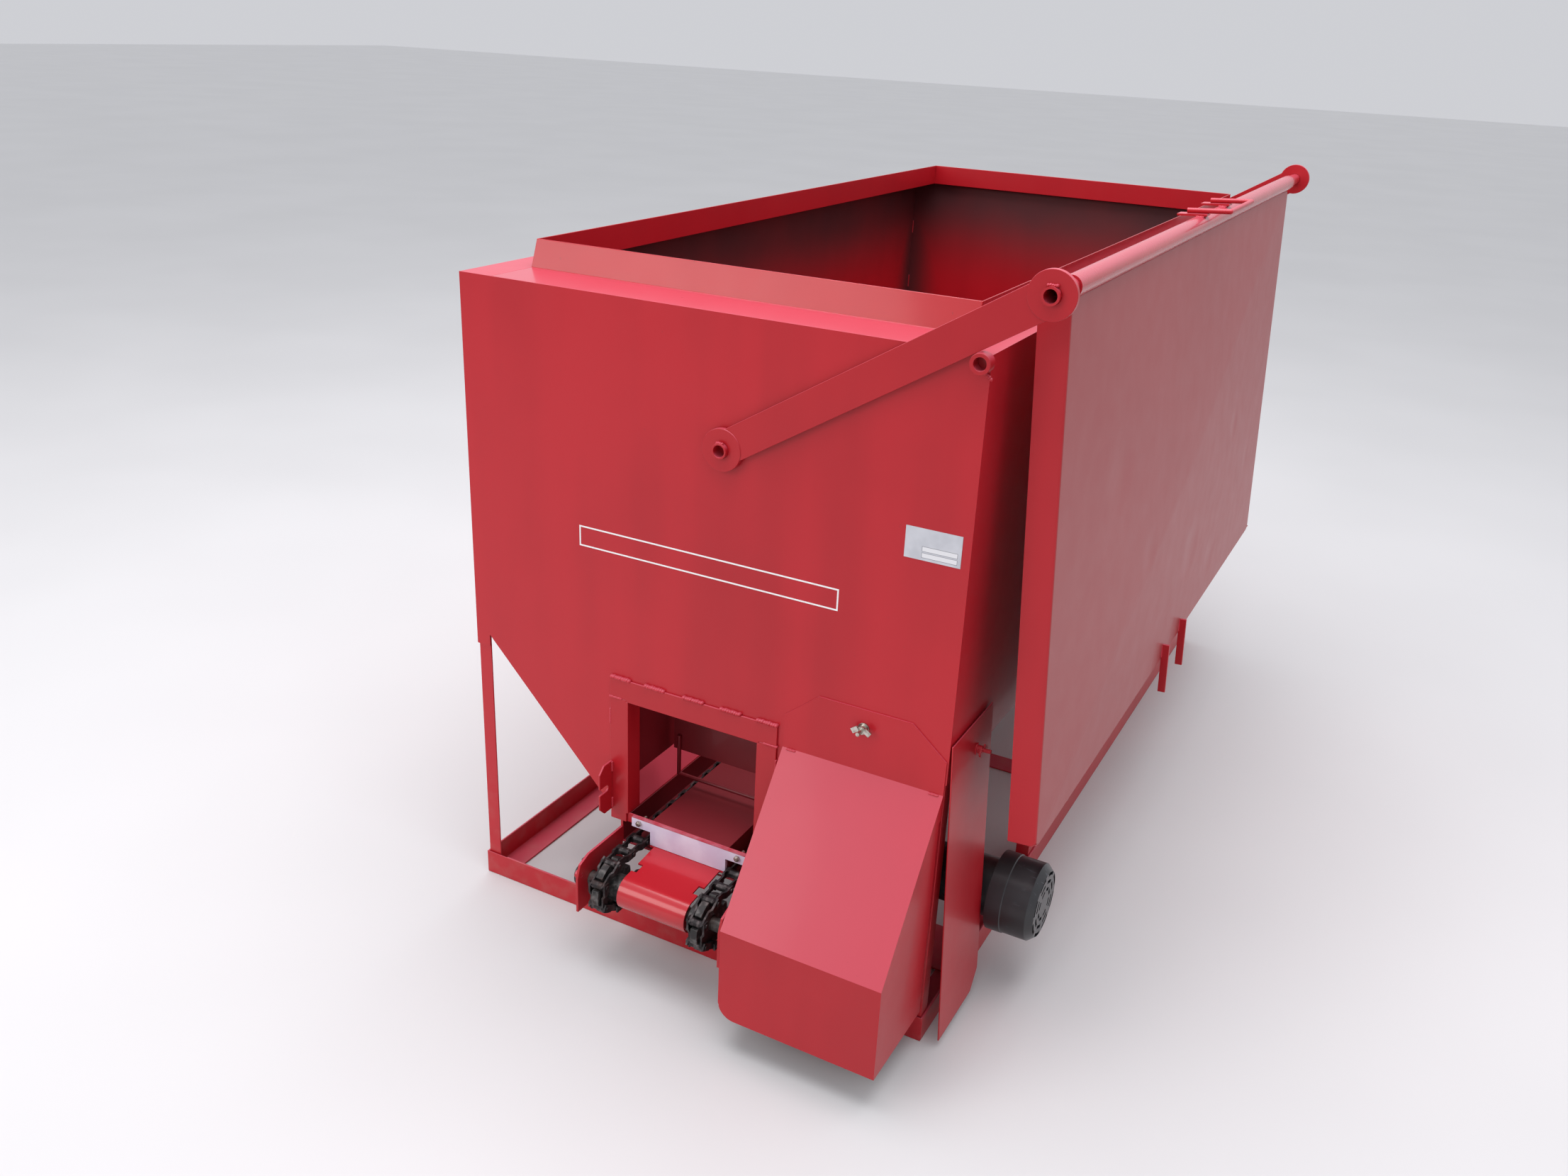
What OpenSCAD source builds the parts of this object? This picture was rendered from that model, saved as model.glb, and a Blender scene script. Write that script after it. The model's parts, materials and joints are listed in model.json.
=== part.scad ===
// Truck-bed range cube feeder: a steel hopper that empties through a chain conveyor.
// X runs to the right as seen from the discharge end, Y away from that end, Z up.
// The origin is the middle of the base, on the surface that it stands on. Millimetres.

/* [Hopper] */
// Width of the hopper over its side walls
hopper_w = 1217; // [1150:1:1300]
// Length from the front panel to the rear panel
hopper_l = 2500; // [2300:1:3000]
// Height of the flat top ledge above the ground
hopper_h = 1547; // [1500:1:1650]
// Thickness of the hopper sheets
sheet_t = 3; // [2:0.5:5]
// Height at which the side walls end and the slope sheets begin
slope_top_z = 691; // [660:1:720]
// Height at which the slope sheets meet the trough
slope_low_z = 303; // [295:1:320]

/* [Coaming] */
// Height of the coaming above the top ledge
coaming_h = 60; // [40:1:80]
// Width of the ledge outside the coaming at the sides
ledge_side = 85; // [70:1:110]
// Width of the ledge in front of the coaming
ledge_front = 140; // [100:1:180]
// Width of the ledge behind the coaming
ledge_rear = 30; // [20:1:60]
// Lean of the coaming's front sheet, measured over its height
coaming_lean = 22; // [5:1:35]

/* [Base frame] */
// Leg of the base rail angle
rail_leg = 63; // [50:1:75]
// Thickness of the base rail angle
rail_t = 5; // [4:0.5:8]
// Leg of the corner post angle
post_leg = 38; // [30:1:50]
// Thickness of the post steel
post_t = 4; // [3:0.5:6]
// Width of each side post
side_post_w = 100; // [80:1:120]
// Distance from the middle of the side to its outer side posts
side_post_pitch = 470; // [400:1:550]
// Distance from the middle of the base to its outer cross members
cross_pitch = 620; // [500:1:700]
// Width of a cross member
cross_w = 76; // [60:1:100]

/* [Discharge] */
// Half the clear width of the discharge opening
opening_half = 174; // [160:1:180]
// Height of the top of the discharge opening
opening_top_z = 630; // [600:1:660]
// Width of the bars round the opening
frame_bar = 44; // [35:1:50]
// Depth to which the frame bars return into the hopper
frame_depth = 45; // [30:1:60]
// Height of the raised trough floor
floor_z = 327; // [322:1:335]
// Height of the bottom of the chain grooves
groove_z = 245; // [240:1:250]
// Half the width of the raised floor
floor_half = 105; // [100:1:107]
// Half the width of the trough over its grooves
trough_half = 187; // [183:1:190]
// Thickness of the boot side plates
boot_t = 6; // [5:0.5:10]
// Distance that the boot reaches in front of the panel
boot_reach = 182; // [170:1:200]
// Height of the top of the boot side plates
boot_top_z = 285; // [280:1:295]
// Height of the underside of the boot side plates
boot_low_z = 150; // [140:1:160]
// Thickness of the plastic wiper strip
wiper_t = 10; // [6:1:12]

/* [Conveyor] */
// Pitch of the conveyor chain
chain_pitch = 57.15; // [57.15:0.01:57.2]
// Number of teeth on each conveyor sprocket
sprocket_teeth = 6; // [6:1:6]
// Least distance of the tail shaft behind the rear panel
tail_clear = 45; // [30:1:55]
// Distance from the middle of the trough to each chain
chain_x = 132; // [130:1:134]
// Outer diameter of a link barrel
barrel_d = 19; // [17:0.5:20]
// Width of a chain link over its side bars
link_w = 46; // [42:1:48]
// Thickness of a link side bar
bar_t = 5; // [4:0.5:6]
// Height of a link side bar
bar_h = 17; // [14:1:20]
// Diameter of a chain pin
pin_d = 11; // [9:0.5:12]
// Diameter of the conveyor shafts
shaft_d = 31.75; // [30:0.05:35]
// Distance of the drive shaft in front of the panel
shaft_out = 127; // [122:1:132]
// Height of both conveyor shafts
shaft_z = 215; // [212:1:218]
// Diameter of a sprocket hub
hub_d = 64; // [56:1:66]

/* [Drive] */
// Distance from the middle of the machine to the drive chain
drive_x = 420; // [400:1:440]
// Pitch of the drive chain
roller_pitch = 15.875; // [15.875:0.005:15.9]
// Teeth of the motor sprocket
motor_teeth = 12; // [12:1:12]
// Teeth of the driven sprocket
driven_teeth = 18; // [18:1:18]
// Links in each straight run of the drive chain
run_links = 28; // [28:1:28]
// Diameter of a drive chain roller
roller_d = 10.16; // [10:0.02:10.2]
// Height of the motor's axis
motor_z = 230; // [225:1:240]
// Diameter of the motor's ventilated cover
cover_d = 188; // [180:1:200]
// Diameter of the motor's steel can
can_d = 150; // [130:1:155]
// Distance that the motor stands out of the side wall
motor_out = 156; // [150:0.5:175]
// Diameter of the motor's output shaft
motor_shaft_d = 25; // [22:1:28]

/* [Guards] */
// Distance from the trough's side to the inner side of the drive hood
hood_in = 45; // [40:1:55]
// Height of the hood's back plate
hood_top_z = 780; // [740:1:800]
// Height of the fold where the hood leaves the panel
hood_fold_z = 636; // [600:1:660]
// Distance that the hood stands in front of the panel
hood_reach = 250; // [230:1:270]
// Height at which the hood's slope turns down
hood_nose_z = 310; // [290:1:330]
// Height of the hood's lower edge
hood_low_z = 86; // [70:1:95]
// Length of the side guard along the hopper
guard_l = 232; // [200:1:235]
// Height of the side guard's top edge
guard_h = 750; // [720:1:780]
// Outward lean of the side guard, in degrees
guard_lean = 3; // [2.5:0.1:4]

/* [Lid] */
// Distance from the middle to the fixed pivot of the lid arms
arm_pivot_x = 66; // [60:1:80]
// Depth of the fixed pivot below the top ledge
arm_pivot_drop = 273; // [260:1:280]
// Distance of the stored lid's pivot out from the side wall
lid_pivot_out = 99.5; // [98:0.5:110]
// Height of the stored lid's pivot above the top ledge
lid_pivot_rise = 121; // [118:1:130]
// Width of the flat bar of an arm
arm_w = 70; // [60:1:75]
// Thickness of the flat bar of an arm
arm_t = 8; // [6:1:10]
// Diameter of the discs at the ends of an arm
disc_d = 90; // [80:1:95]
// Thickness of the discs
disc_t = 12; // [10:1:16]
// Outer diameter of the pivot pipes
pipe_d = 33.4; // [32:0.1:34]
// Inner diameter of the pivot pipes
pipe_bore = 25; // [22:0.5:27]
// Outer diameter of the lid's hinge sleeve
sleeve_d = 42.2; // [40:0.1:44]
// Radial running clearance of the pivots
pivot_gap = 0.1; // [0.05:0.01:0.1]
// Width of the lid from its hinge edge to its free edge
lid_w = 1130; // [1110:1:1140]
// Distance of the lid's near end from the front panel
lid_inset = 90; // [80:1:100]
// Distance of the lid's far end from the rear panel
lid_inset_rear = 130; // [100:1:140]
// Depth of the lid's skirts
lid_skirt = 62; // [50:1:62]
// Thickness of the lid sheet
lid_t = 2; // [1.5:0.5:3]
// Distance of the lid's outer face from its hinge line
lid_offset = 5; // [5:1:12]
// Outward lean of the stored lid, in degrees
lid_lean = 3.6; // [3.6:0.1:5]
// Diameter of the pull handle's rod
handle_rod_d = 12; // [10:1:14]
// Diameter of the stub that the arm rests on
rest_d = 40; // [35:1:42]

/* [Gate] */
// Distance of the trip flap behind the panel
flap_y = 190; // [180:1:200]
// Height of the flap's hinge rod
flap_hinge_z = 585; // [575:1:595]
// Height of the flap's lower edge
flap_low_z = 416; // [405:1:425]
// Diameter of the hinge rod
gate_rod_d = 12; // [10:1:14]
// Height of the bottom of the bail
bail_low_z = 350; // [345:1:360]

/* [Hidden] */
$fn = 48;
half_w = hopper_w / 2;
front = -hopper_l / 2;
rear = hopper_l / 2;
rail_out = rail_t - sheet_t;
lap = 31;
wall_low_z = slope_top_z - lap;
slope_in_x = half_w - post_leg;
slope_low_x = trough_half + boot_t;
slope_ratio = (slope_top_z - slope_low_z) / (slope_in_x - slope_low_x);
coaming_x = half_w - ledge_side;
coaming_top = hopper_h + coaming_h;
deck_z = hopper_h - sheet_t;
shaft_y = front - shaft_out;
strand_links = ceil((hopper_l + shaft_out + tail_clear) / chain_pitch);
tail_y = shaft_y + strand_links * chain_pitch;
tail_reach = tail_y - rear + boot_reach - shaft_out;
sprocket_r = chain_pitch / (2 * sin(180 / sprocket_teeth));
sprocket_w = link_w - 4 * bar_t - 8;
driven_r = roller_pitch / (2 * sin(180 / driven_teeth));
motor_r = roller_pitch / (2 * sin(180 / motor_teeth));
motor_y = shaft_y + run_links * roller_pitch - 1;
motor_plate_x = drive_x + 50;
motor_plate_t = 8;
motor_body_x = motor_plate_x + motor_plate_t;
gearbox_l = 84;
can_x = motor_body_x + gearbox_l;
cover_l = 112;
motor_end_x = half_w + motor_out;
cover_x = motor_end_x - cover_l;
roller_gap = 9.6;
roller_plate_t = 1.6;
fit_gap = 0.05;
arm_pivot = [arm_pivot_x, hopper_h - arm_pivot_drop];
lid_pivot = [half_w + lid_pivot_out, hopper_h + lid_pivot_rise];
arm_dx = lid_pivot[0] - arm_pivot[0];
arm_dz = lid_pivot[1] - arm_pivot[1];
arm_len = sqrt(arm_dx * arm_dx + arm_dz * arm_dz);
arm_angle = atan2(arm_dz, arm_dx);
arm_gap = 4;
arm_front_y = front - arm_gap - disc_t;
arm_rear_y = rear + arm_gap;
stub_out = arm_gap + disc_t + 10;
rest_along = 0.78 * arm_len;
rest_drop = arm_w / 2 + rest_d / 2 + 0.5;
lid_len = hopper_l - lid_inset - lid_inset_rear;
lid_top = -sleeve_d / 2;
hood_x = [trough_half + hood_in, half_w - 3.5];
wing_z = hood_top_z - 43;
wing_x = (hood_x[0] + hood_x[1]) / 2;
wing_hole_d = 11;
wiper_half = opening_half - 19;
wiper_bolt_x = (floor_half + opening_half) / 2 - 5.5;
wiper_bolt_z = floor_z - 11;
guard_out = 3;
guard_bolt = [142, 680];
flap_half = opening_half - 9;
bail_half = opening_half - 27;
hanger_t = 4;
boot_bolt_at = [boot_reach - 16, boot_top_z - 42];

// Extrudes an XZ outline along Y from y0 to y1.
module along_y(y0, y1) {
  translate([0, y1, 0])
    rotate([90, 0, 0])
      linear_extrude(y1 - y0)
        children();
}

// Extrudes a YZ outline along X from x0 to x1.
module along_x(x0, x1) {
  translate([x0, 0, 0])
    rotate([90, 0, 90])
      linear_extrude(x1 - x0)
        children();
}

// Round bar along X.
module rod_x(x0, x1, y, z, d) {
  translate([x0, y, z])
    rotate([0, 90, 0])
      cylinder(h = x1 - x0, d = d);
}

// Round bar along Y.
module rod_y(y0, y1, x, z, d) {
  translate([x, y0, z])
    rotate([-90, 0, 0])
      cylinder(h = y1 - y0, d = d);
}

// Box between two opposite corners.
module block(low, high) {
  translate(low)
    cube(high - low);
}

// Hexagonal bolt head along Y, its washer face at y.
module hex_y(x, y, z, across, h) {
  translate([x, y, z])
    rotate([90, 0, 0])
      cylinder(h = h, d = across, $fn = 6);
}

// ---- hopper shell ----

// Outline of an end panel, seen from the discharge end.
module end_outline() {
  polygon([
    [-half_w, hopper_h], [half_w, hopper_h], [half_w, wall_low_z], [slope_in_x, wall_low_z],
    [slope_in_x, slope_top_z], [slope_low_x, slope_low_z], [slope_low_x, groove_z - sheet_t],
    [-slope_low_x, groove_z - sheet_t], [-slope_low_x, slope_low_z], [-slope_in_x, slope_top_z],
    [-slope_in_x, wall_low_z], [-half_w, wall_low_z]
  ]);
}

// Openings of the front panel: the discharge, the trough below its threshold, and bolt holes.
module opening_outline() {
  translate([-opening_half, floor_z])
    square([2 * opening_half, opening_top_z - floor_z]);
  translate([-trough_half, groove_z])
    square([2 * trough_half, slope_low_z - groove_z]);
  for (sx = [-1, 1])
    translate([sx * wiper_bolt_x, wiper_bolt_z])
      circle(d = 9);
  translate([wing_x, wing_z])
    circle(d = wing_hole_d);
}

module front_panel() {
  color("firebrick")
    along_y(front, front + sheet_t)
      difference() {
        end_outline();
        opening_outline();
      }
}

module rear_panel() {
  color("firebrick")
    along_y(rear - sheet_t, rear)
      difference() {
        end_outline();
        translate([-trough_half, groove_z - sheet_t - 1])
          square([2 * trough_half, floor_z - groove_z + sheet_t + 1]);
      }
}

// Side wall with its deck flange turned in at the top.
module side_wall() {
  color("firebrick")
    along_y(front + sheet_t, rear - sheet_t)
      union() {
        translate([half_w - sheet_t, wall_low_z])
          square([sheet_t, hopper_h - wall_low_z]);
        translate([coaming_x, deck_z])
          square([ledge_side, sheet_t]);
      }
}

module left_wall() {
  mirror([1, 0, 0])
    side_wall();
}

// The right wall has the hole of the side guard's wing bolt.
module right_wall() {
  color("firebrick")
    difference() {
      side_wall();
      rod_x(half_w - 10, half_w + 10, front + guard_bolt[0], guard_bolt[1], wing_hole_d);
    }
}

// Slope sheet from the side wall down to the trough.
module slope_sheet() {
  wall_x = half_w - sheet_t;
  wall_z = slope_top_z + (wall_x - slope_in_x) * slope_ratio;
  rise = sheet_t * sqrt(1 + slope_ratio * slope_ratio);
  low_x = trough_half + sheet_t;
  low_z = slope_low_z - (slope_low_x - low_x) * slope_ratio;
  color("firebrick")
    along_y(front + sheet_t, rear - sheet_t)
      polygon([[wall_x, wall_z], [wall_x, wall_z + rise], [low_x, low_z + rise], [low_x, low_z]]);
}

module left_slope() {
  mirror([1, 0, 0])
    slope_sheet();
}

module right_slope() {
  slope_sheet();
}

// End coaming: a deck flange, then a sheet that leans inward as it rises.
module end_coaming(ledge, lean) {
  run = ledge - sheet_t;
  color("firebrick")
    along_x(-coaming_x, coaming_x)
      translate([front + sheet_t, 0])
        polygon([
          [0, deck_z], [0, hopper_h], [run, hopper_h], [run + lean, coaming_top],
          [run + lean + sheet_t, coaming_top], [run + sheet_t, deck_z]
        ]);
}

module front_coaming() {
  end_coaming(ledge_front, coaming_lean);
}

module rear_coaming() {
  mirror([0, 1, 0])
    end_coaming(ledge_rear, 0);
}

// Side coaming: an upright sheet with its front end cut to the lean of the front sheet.
module side_coaming() {
  y0 = front + ledge_front + sheet_t + fit_gap;
  y1 = rear - ledge_rear - sheet_t - fit_gap;
  color("firebrick")
    along_x(coaming_x - sheet_t, coaming_x)
      polygon([
        [y0, deck_z], [y0 + coaming_lean, coaming_top], [y1, coaming_top], [y1, deck_z]
      ]);
}

module left_coaming() {
  mirror([1, 0, 0])
    side_coaming();
}

module right_coaming() {
  side_coaming();
}

// ---- base frame ----

module corner_posts() {
  leg = post_leg - sheet_t;
  color("firebrick")
    for (sx = [-1, 1])
      for (sy = [-1, 1])
        scale([sx, sy, 1])
          translate([half_w - post_leg, rear - post_leg, rail_t])
            linear_extrude(slope_top_z - rail_t)
              difference() {
                square(leg);
                square(leg - post_t);
              }
}

// Side posts: channels with their web outward.
module side_posts() {
  depth = post_leg - sheet_t;
  color("firebrick")
    for (sx = [-1, 1])
      for (y = [-side_post_pitch, 0, side_post_pitch])
        scale([sx, 1, 1])
          translate([slope_in_x, y - side_post_w / 2, rail_t])
            linear_extrude(slope_top_z - rail_t)
              difference() {
                square([depth, side_post_w]);
                translate([0, post_t])
                  square([depth - post_t, side_post_w - 2 * post_t]);
              }
}

// Side rail: an angle with its upright leg outward and its flat leg inward.
module side_rail() {
  color("firebrick")
    along_y(front, rear)
      translate([half_w + rail_out, 0])
        mirror([1, 0]) {
          square([rail_leg, rail_t]);
          square([rail_t, rail_leg]);
        }
}

module left_rail() {
  mirror([1, 0, 0])
    side_rail();
}

module right_rail() {
  side_rail();
}

// End rail between the side rails' flat legs, with its upright leg run to the outside corners.
module end_rail() {
  reach = half_w + rail_out;
  color("firebrick")
    union() {
      block([-reach, front - rail_out, 0], [reach, front, rail_leg]);
      block(
        [-reach + rail_leg, front, 0],
        [reach - rail_leg, front + rail_leg - rail_out, rail_t]
      );
      block(
        [-reach + rail_leg, front, 0],
        [reach - rail_leg, front + rail_t - rail_out, rail_leg]
      );
    }
}

module front_rail() {
  end_rail();
}

module rear_rail() {
  mirror([0, 1, 0])
    end_rail();
}

// Cross members: upturned channels between the side rails, with legs that carry the trough.
module cross_members() {
  reach = half_w + rail_out - rail_leg;
  color("firebrick")
    for (y = [-cross_pitch, 0, cross_pitch]) {
      block([-reach, y - cross_w / 2, 0], [reach, y + cross_w / 2, rail_t]);
      for (sx = [-1, 1])
        scale([sx, 1, 1])
          block(
            [trough_half, y - cross_w / 2, rail_t],
            [trough_half + rail_t, y + cross_w / 2, groove_z - sheet_t]
          );
    }
}

// Trough: a raised middle floor between two chain grooves, with upright outer sides.
module trough_floor() {
  color("indianred")
    along_y(front + sheet_t, rear - sheet_t)
      union() {
        translate([-floor_half, floor_z - sheet_t])
          square([2 * floor_half, sheet_t]);
        for (sx = [-1, 1])
          scale([sx, 1]) {
            translate([floor_half - sheet_t, groove_z - sheet_t])
              square([sheet_t, floor_z - groove_z + sheet_t]);
            translate([floor_half - sheet_t, groove_z - sheet_t])
              square([trough_half + sheet_t * 2 - floor_half, sheet_t]);
            translate([trough_half, groove_z - sheet_t])
              square([sheet_t, slope_low_z - groove_z + sheet_t]);
          }
      }
}

// ---- discharge ----

module frame_header() {
  outer = opening_half + frame_bar;
  color("firebrick")
    union() {
      block([-outer, front - rail_t, opening_top_z], [outer, front, opening_top_z + frame_bar + 6]);
      block(
        [-opening_half, front, opening_top_z - rail_t],
        [opening_half, front + frame_depth, opening_top_z]
      );
      block(
        [-opening_half, front - rail_t, opening_top_z - rail_t],
        [opening_half, front, opening_top_z]
      );
    }
}

// Jamb: a front flange beside the opening and a return leg into the hopper.
module jamb() {
  color("firebrick")
    union() {
      block(
        [opening_half, front - rail_t, slope_low_z],
        [opening_half + frame_bar, front, opening_top_z]
      );
      block(
        [opening_half - rail_t, front - rail_t, floor_z],
        [opening_half, front + frame_depth, opening_top_z - rail_t]
      );
    }
}

module left_jamb() {
  mirror([1, 0, 0])
    jamb();
}

module right_jamb() {
  jamb();
}

// Slotted plates that take a delivery spout, one on each jamb.
module spout_brackets() {
  plate_t = 5;
  plate_out = 50;
  low = 330;
  high = 460;
  cut = 18;
  color("firebrick")
    for (sx = [-1, 1])
      scale([sx, 1, 1])
        along_x(opening_half + frame_bar - plate_t, opening_half + frame_bar)
          translate([front - rail_t, 0])
            difference() {
              polygon([
                [0, low], [-plate_out + cut, low], [-plate_out, low + cut],
                [-plate_out, high - cut], [-plate_out + cut, high], [0, high]
              ]);
              translate([-plate_out - 1, (low + high) / 2 - 8])
                square([27, 16]);
              translate([-plate_out + 26, (low + high) / 2])
                circle(r = 8);
            }
}

// Plastic strip across the threshold, cut short over the chains.
module wiper_strip() {
  step_x = chain_x - link_w / 2 - 6;
  top = floor_z + 1;
  color("whitesmoke")
    along_y(front - wiper_t, front)
      difference() {
        translate([-wiper_half, floor_z - 60])
          square([2 * wiper_half, top - floor_z + 60]);
        for (sx = [-1, 1])
          scale([sx, 1]) {
            translate([step_x, floor_z - 61])
              square([wiper_half, 36]);
            translate([wiper_bolt_x, wiper_bolt_z])
              circle(d = 9);
          }
      }
}

module wiper_bolts() {
  color("silver")
    for (x = [-wiper_bolt_x, wiper_bolt_x]) {
      rod_y(front - wiper_t - 8, front + 20, x, wiper_bolt_z, 8.8);
      hex_y(x, front - wiper_t, wiper_bolt_z, 15, 6);
    }
}

// Curved plate round the drive shaft between the chains, on a shelf between the trough's webs.
module nose_plate() {
  half = floor_half - 15;
  plate_t = 4;
  r_out = 40;
  back_y = front - wiper_t;
  back_z = floor_z - 65;
  shelf = floor_half - sheet_t;
  color("firebrick") {
    block([-shelf, back_y - 2, back_z], [shelf, front + 60, back_z + plate_t]);
    difference() {
      along_x(-half, half)
        nose_outline(r_out, plate_t, back_y, back_z);
      for (sx = [-1, 1])
        scale([sx, 1, 1])
          block([half - 14, shaft_y + 20, shaft_z + 10], [half + 1, shaft_y + 48, back_z + 20]);
    }
  }
}

// Side view of the nose plate: a half round nose, a straight top up to the shelf, a short bottom.
module nose_outline(r_out, plate_t, back_y, back_z) {
  top = shaft_z + r_out;
  difference() {
    translate([shaft_y, shaft_z])
      circle(r = r_out);
    translate([shaft_y, shaft_z])
      circle(r = r_out - plate_t);
    translate([shaft_y, shaft_z - r_out - 1])
      square([r_out + 2, 2 * r_out + 2]);
  }
  polygon([
    [shaft_y - 1, top - plate_t], [shaft_y - 1, top], [back_y - 12, back_z + plate_t],
    [back_y, back_z + plate_t], [back_y, back_z], [back_y - 11, back_z]
  ]);
  translate([shaft_y - 1, shaft_z - r_out])
    square([r_out, plate_t]);
}

// Side plate of the boot or of the tail, seen along X, from its welded edge to its outer end.
module end_plate_outline(shaft_at, reach, edge) {
  corner = 45;
  dir = reach > shaft_at ? 1 : -1;
  difference() {
    polygon([
      [edge, boot_low_z], [edge, boot_top_z], [reach - dir * corner, boot_top_z],
      [reach - dir * 12, boot_top_z - 12], [reach, boot_top_z - corner], [reach, boot_low_z]
    ]);
    translate([shaft_at, shaft_z])
      circle(d = shaft_d + 3);
  }
}

module boot_sides() {
  color("firebrick")
    for (sx = [-1, 1])
      scale([sx, 1, 1])
        along_x(trough_half, trough_half + boot_t)
          difference() {
            end_plate_outline(shaft_y, front - boot_reach, front);
            translate([front - boot_bolt_at[0], boot_bolt_at[1]])
              circle(d = 10 + 2 * fit_gap);
          }
}

module tail_sides() {
  color("firebrick")
    for (sx = [-1, 1])
      scale([sx, 1, 1])
        along_x(trough_half, trough_half + boot_t)
          end_plate_outline(tail_y, rear + tail_reach, rear);
}

// One bolt through the front upper corner of each boot side plate.
module boot_bolts() {
  x0 = trough_half + boot_t;
  y = front - boot_bolt_at[0];
  color("silver")
    for (sx = [-1, 1])
      scale([sx, 1, 1]) {
        rod_x(trough_half, x0, y, boot_bolt_at[1], 10);
        rod_x(x0, x0 + 8, y, boot_bolt_at[1], 20);
      }
}

// Two-bolt flange bearing on the outer face of a side plate.
module flange_bearing(y) {
  x0 = trough_half + boot_t;
  color("dimgray")
    difference() {
      union() {
        rod_x(x0, x0 + 12, y, shaft_z, 72);
        rod_x(x0 + 12, x0 + 26, y, shaft_z, 54);
        block([x0, y - 18, shaft_z - 55], [x0 + 10, y + 18, shaft_z + 55]);
      }
      rod_x(x0 - 1, x0 + 27, y, shaft_z, shaft_d + 2 * fit_gap);
    }
}

module shaft_bearings() {
  for (sx = [-1, 1])
    scale([sx, 1, 1])
      flange_bearing(shaft_y);
}

module tail_bearings() {
  for (sx = [-1, 1])
    scale([sx, 1, 1])
      flange_bearing(tail_y);
}

module drive_shaft() {
  color("gray")
    rod_x(-(trough_half + 40), drive_x + 20, shaft_y, shaft_z, shaft_d);
}

module tail_shaft() {
  color("gray")
    rod_x(-(trough_half + 40), trough_half + 40, tail_y, shaft_z, shaft_d);
}

// Conveyor sprocket with a hub on its inner side, with a seat for a barrel at every pitch.
module conveyor_sprocket(y) {
  seat_r = barrel_d / 2 + 0.6;
  tooth_taper = 14;
  color("dimgray")
    difference() {
      union() {
        along_x(chain_x - sprocket_w / 2, chain_x + sprocket_w / 2)
          translate([y, shaft_z])
            difference() {
              circle(r = sprocket_r + 9);
              for (k = [0:sprocket_teeth - 1])
                rotate(90 + k * 360 / sprocket_teeth) {
                  translate([sprocket_r, 0])
                    circle(r = seat_r);
                  polygon([
                    [sprocket_r, -seat_r], [sprocket_r + 20, -seat_r - tooth_taper],
                    [sprocket_r + 20, seat_r + tooth_taper], [sprocket_r, seat_r]
                  ]);
                }
            }
        rod_x(floor_half - 12, chain_x, y, shaft_z, hub_d);
      }
      rod_x(floor_half - 13, chain_x + sprocket_w, y, shaft_z, shaft_d + 2 * fit_gap);
    }
}

module front_sprockets() {
  for (sx = [-1, 1])
    scale([sx, 1, 1])
      conveyor_sprocket(shaft_y);
}

module tail_sprockets() {
  for (sx = [-1, 1])
    scale([sx, 1, 1])
      conveyor_sprocket(tail_y);
}

// Pins of one chain loop: top strand to the rear, round the tail, back below and round the front.
function wrap(y, start) = [
  for (k = [1:sprocket_teeth / 2 - 1])
    let (a = start - k * 360 / sprocket_teeth)
      [y + sprocket_r * cos(a), shaft_z + sprocket_r * sin(a)]
];
chain_pins = concat(
  [for (i = [0:strand_links]) [shaft_y + i * chain_pitch, shaft_z + sprocket_r]],
  wrap(tail_y, 90),
  [for (i = [0:strand_links]) [tail_y - i * chain_pitch, shaft_z - sprocket_r]],
  wrap(shaft_y, 270)
);

// One link from its barrel at the origin to its pin one pitch along +Y.
module chain_link() {
  in_x = link_w / 2 - 2 * bar_t;
  out_x = link_w / 2 - bar_t;
  difference() {
    union() {
      for (s = [-1, 1])
        translate([0, 0, -bar_h / 2])
          linear_extrude(bar_h)
            scale([s, 1])
              polygon([
                [in_x, -8.5], [in_x, 30], [out_x, 38], [out_x, chain_pitch + 8.5],
                [out_x + bar_t, chain_pitch + 8.5], [out_x + bar_t, 36], [in_x + bar_t - 0.5, 28],
                [in_x + bar_t - 0.5, -8.5]
              ]);
      rod_x(-in_x, in_x, 0, 0, barrel_d);
      rod_x(-link_w / 2 - 3, link_w / 2 + 3, chain_pitch, 0, pin_d);
    }
    rod_x(-in_x - bar_t - 1, in_x + bar_t + 1, 0, 0, pin_d + 0.6);
  }
}

module conveyor_chain(x) {
  count = len(chain_pins);
  color("darkslategray")
    for (i = [0:count - 1]) {
      a = chain_pins[i];
      b = chain_pins[(i + 1) % count];
      translate([x, a[0], a[1]])
        rotate([atan2(b[1] - a[1], b[0] - a[0]), 0, 0])
          chain_link();
    }
}

module left_conveyor_chain() {
  conveyor_chain(-chain_x);
}

module right_conveyor_chain() {
  conveyor_chain(chain_x);
}

// ---- drive ----

// Drive sprocket outline with a seat for a roller at every pitch.
module roller_sprocket_outline(teeth, r) {
  seat_r = roller_d / 2 + 0.3;
  difference() {
    circle(r = r + 3.5);
    for (k = [0:teeth - 1])
      rotate(90 + k * 360 / teeth) {
        translate([r, 0])
          circle(r = seat_r);
        polygon([[r, -seat_r], [r + 10, -seat_r - 6.5], [r + 10, seat_r + 6.5], [r, seat_r]]);
      }
  }
}

module driven_sprocket() {
  color("dimgray")
    difference() {
      union() {
        along_x(drive_x - 3.8, drive_x + 3.8)
          translate([shaft_y, shaft_z])
            roller_sprocket_outline(driven_teeth, driven_r);
        rod_x(drive_x - 28, drive_x, shaft_y, shaft_z, 56);
      }
      rod_x(drive_x - 30, drive_x + 6, shaft_y, shaft_z, shaft_d + 2 * fit_gap);
    }
}

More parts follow.
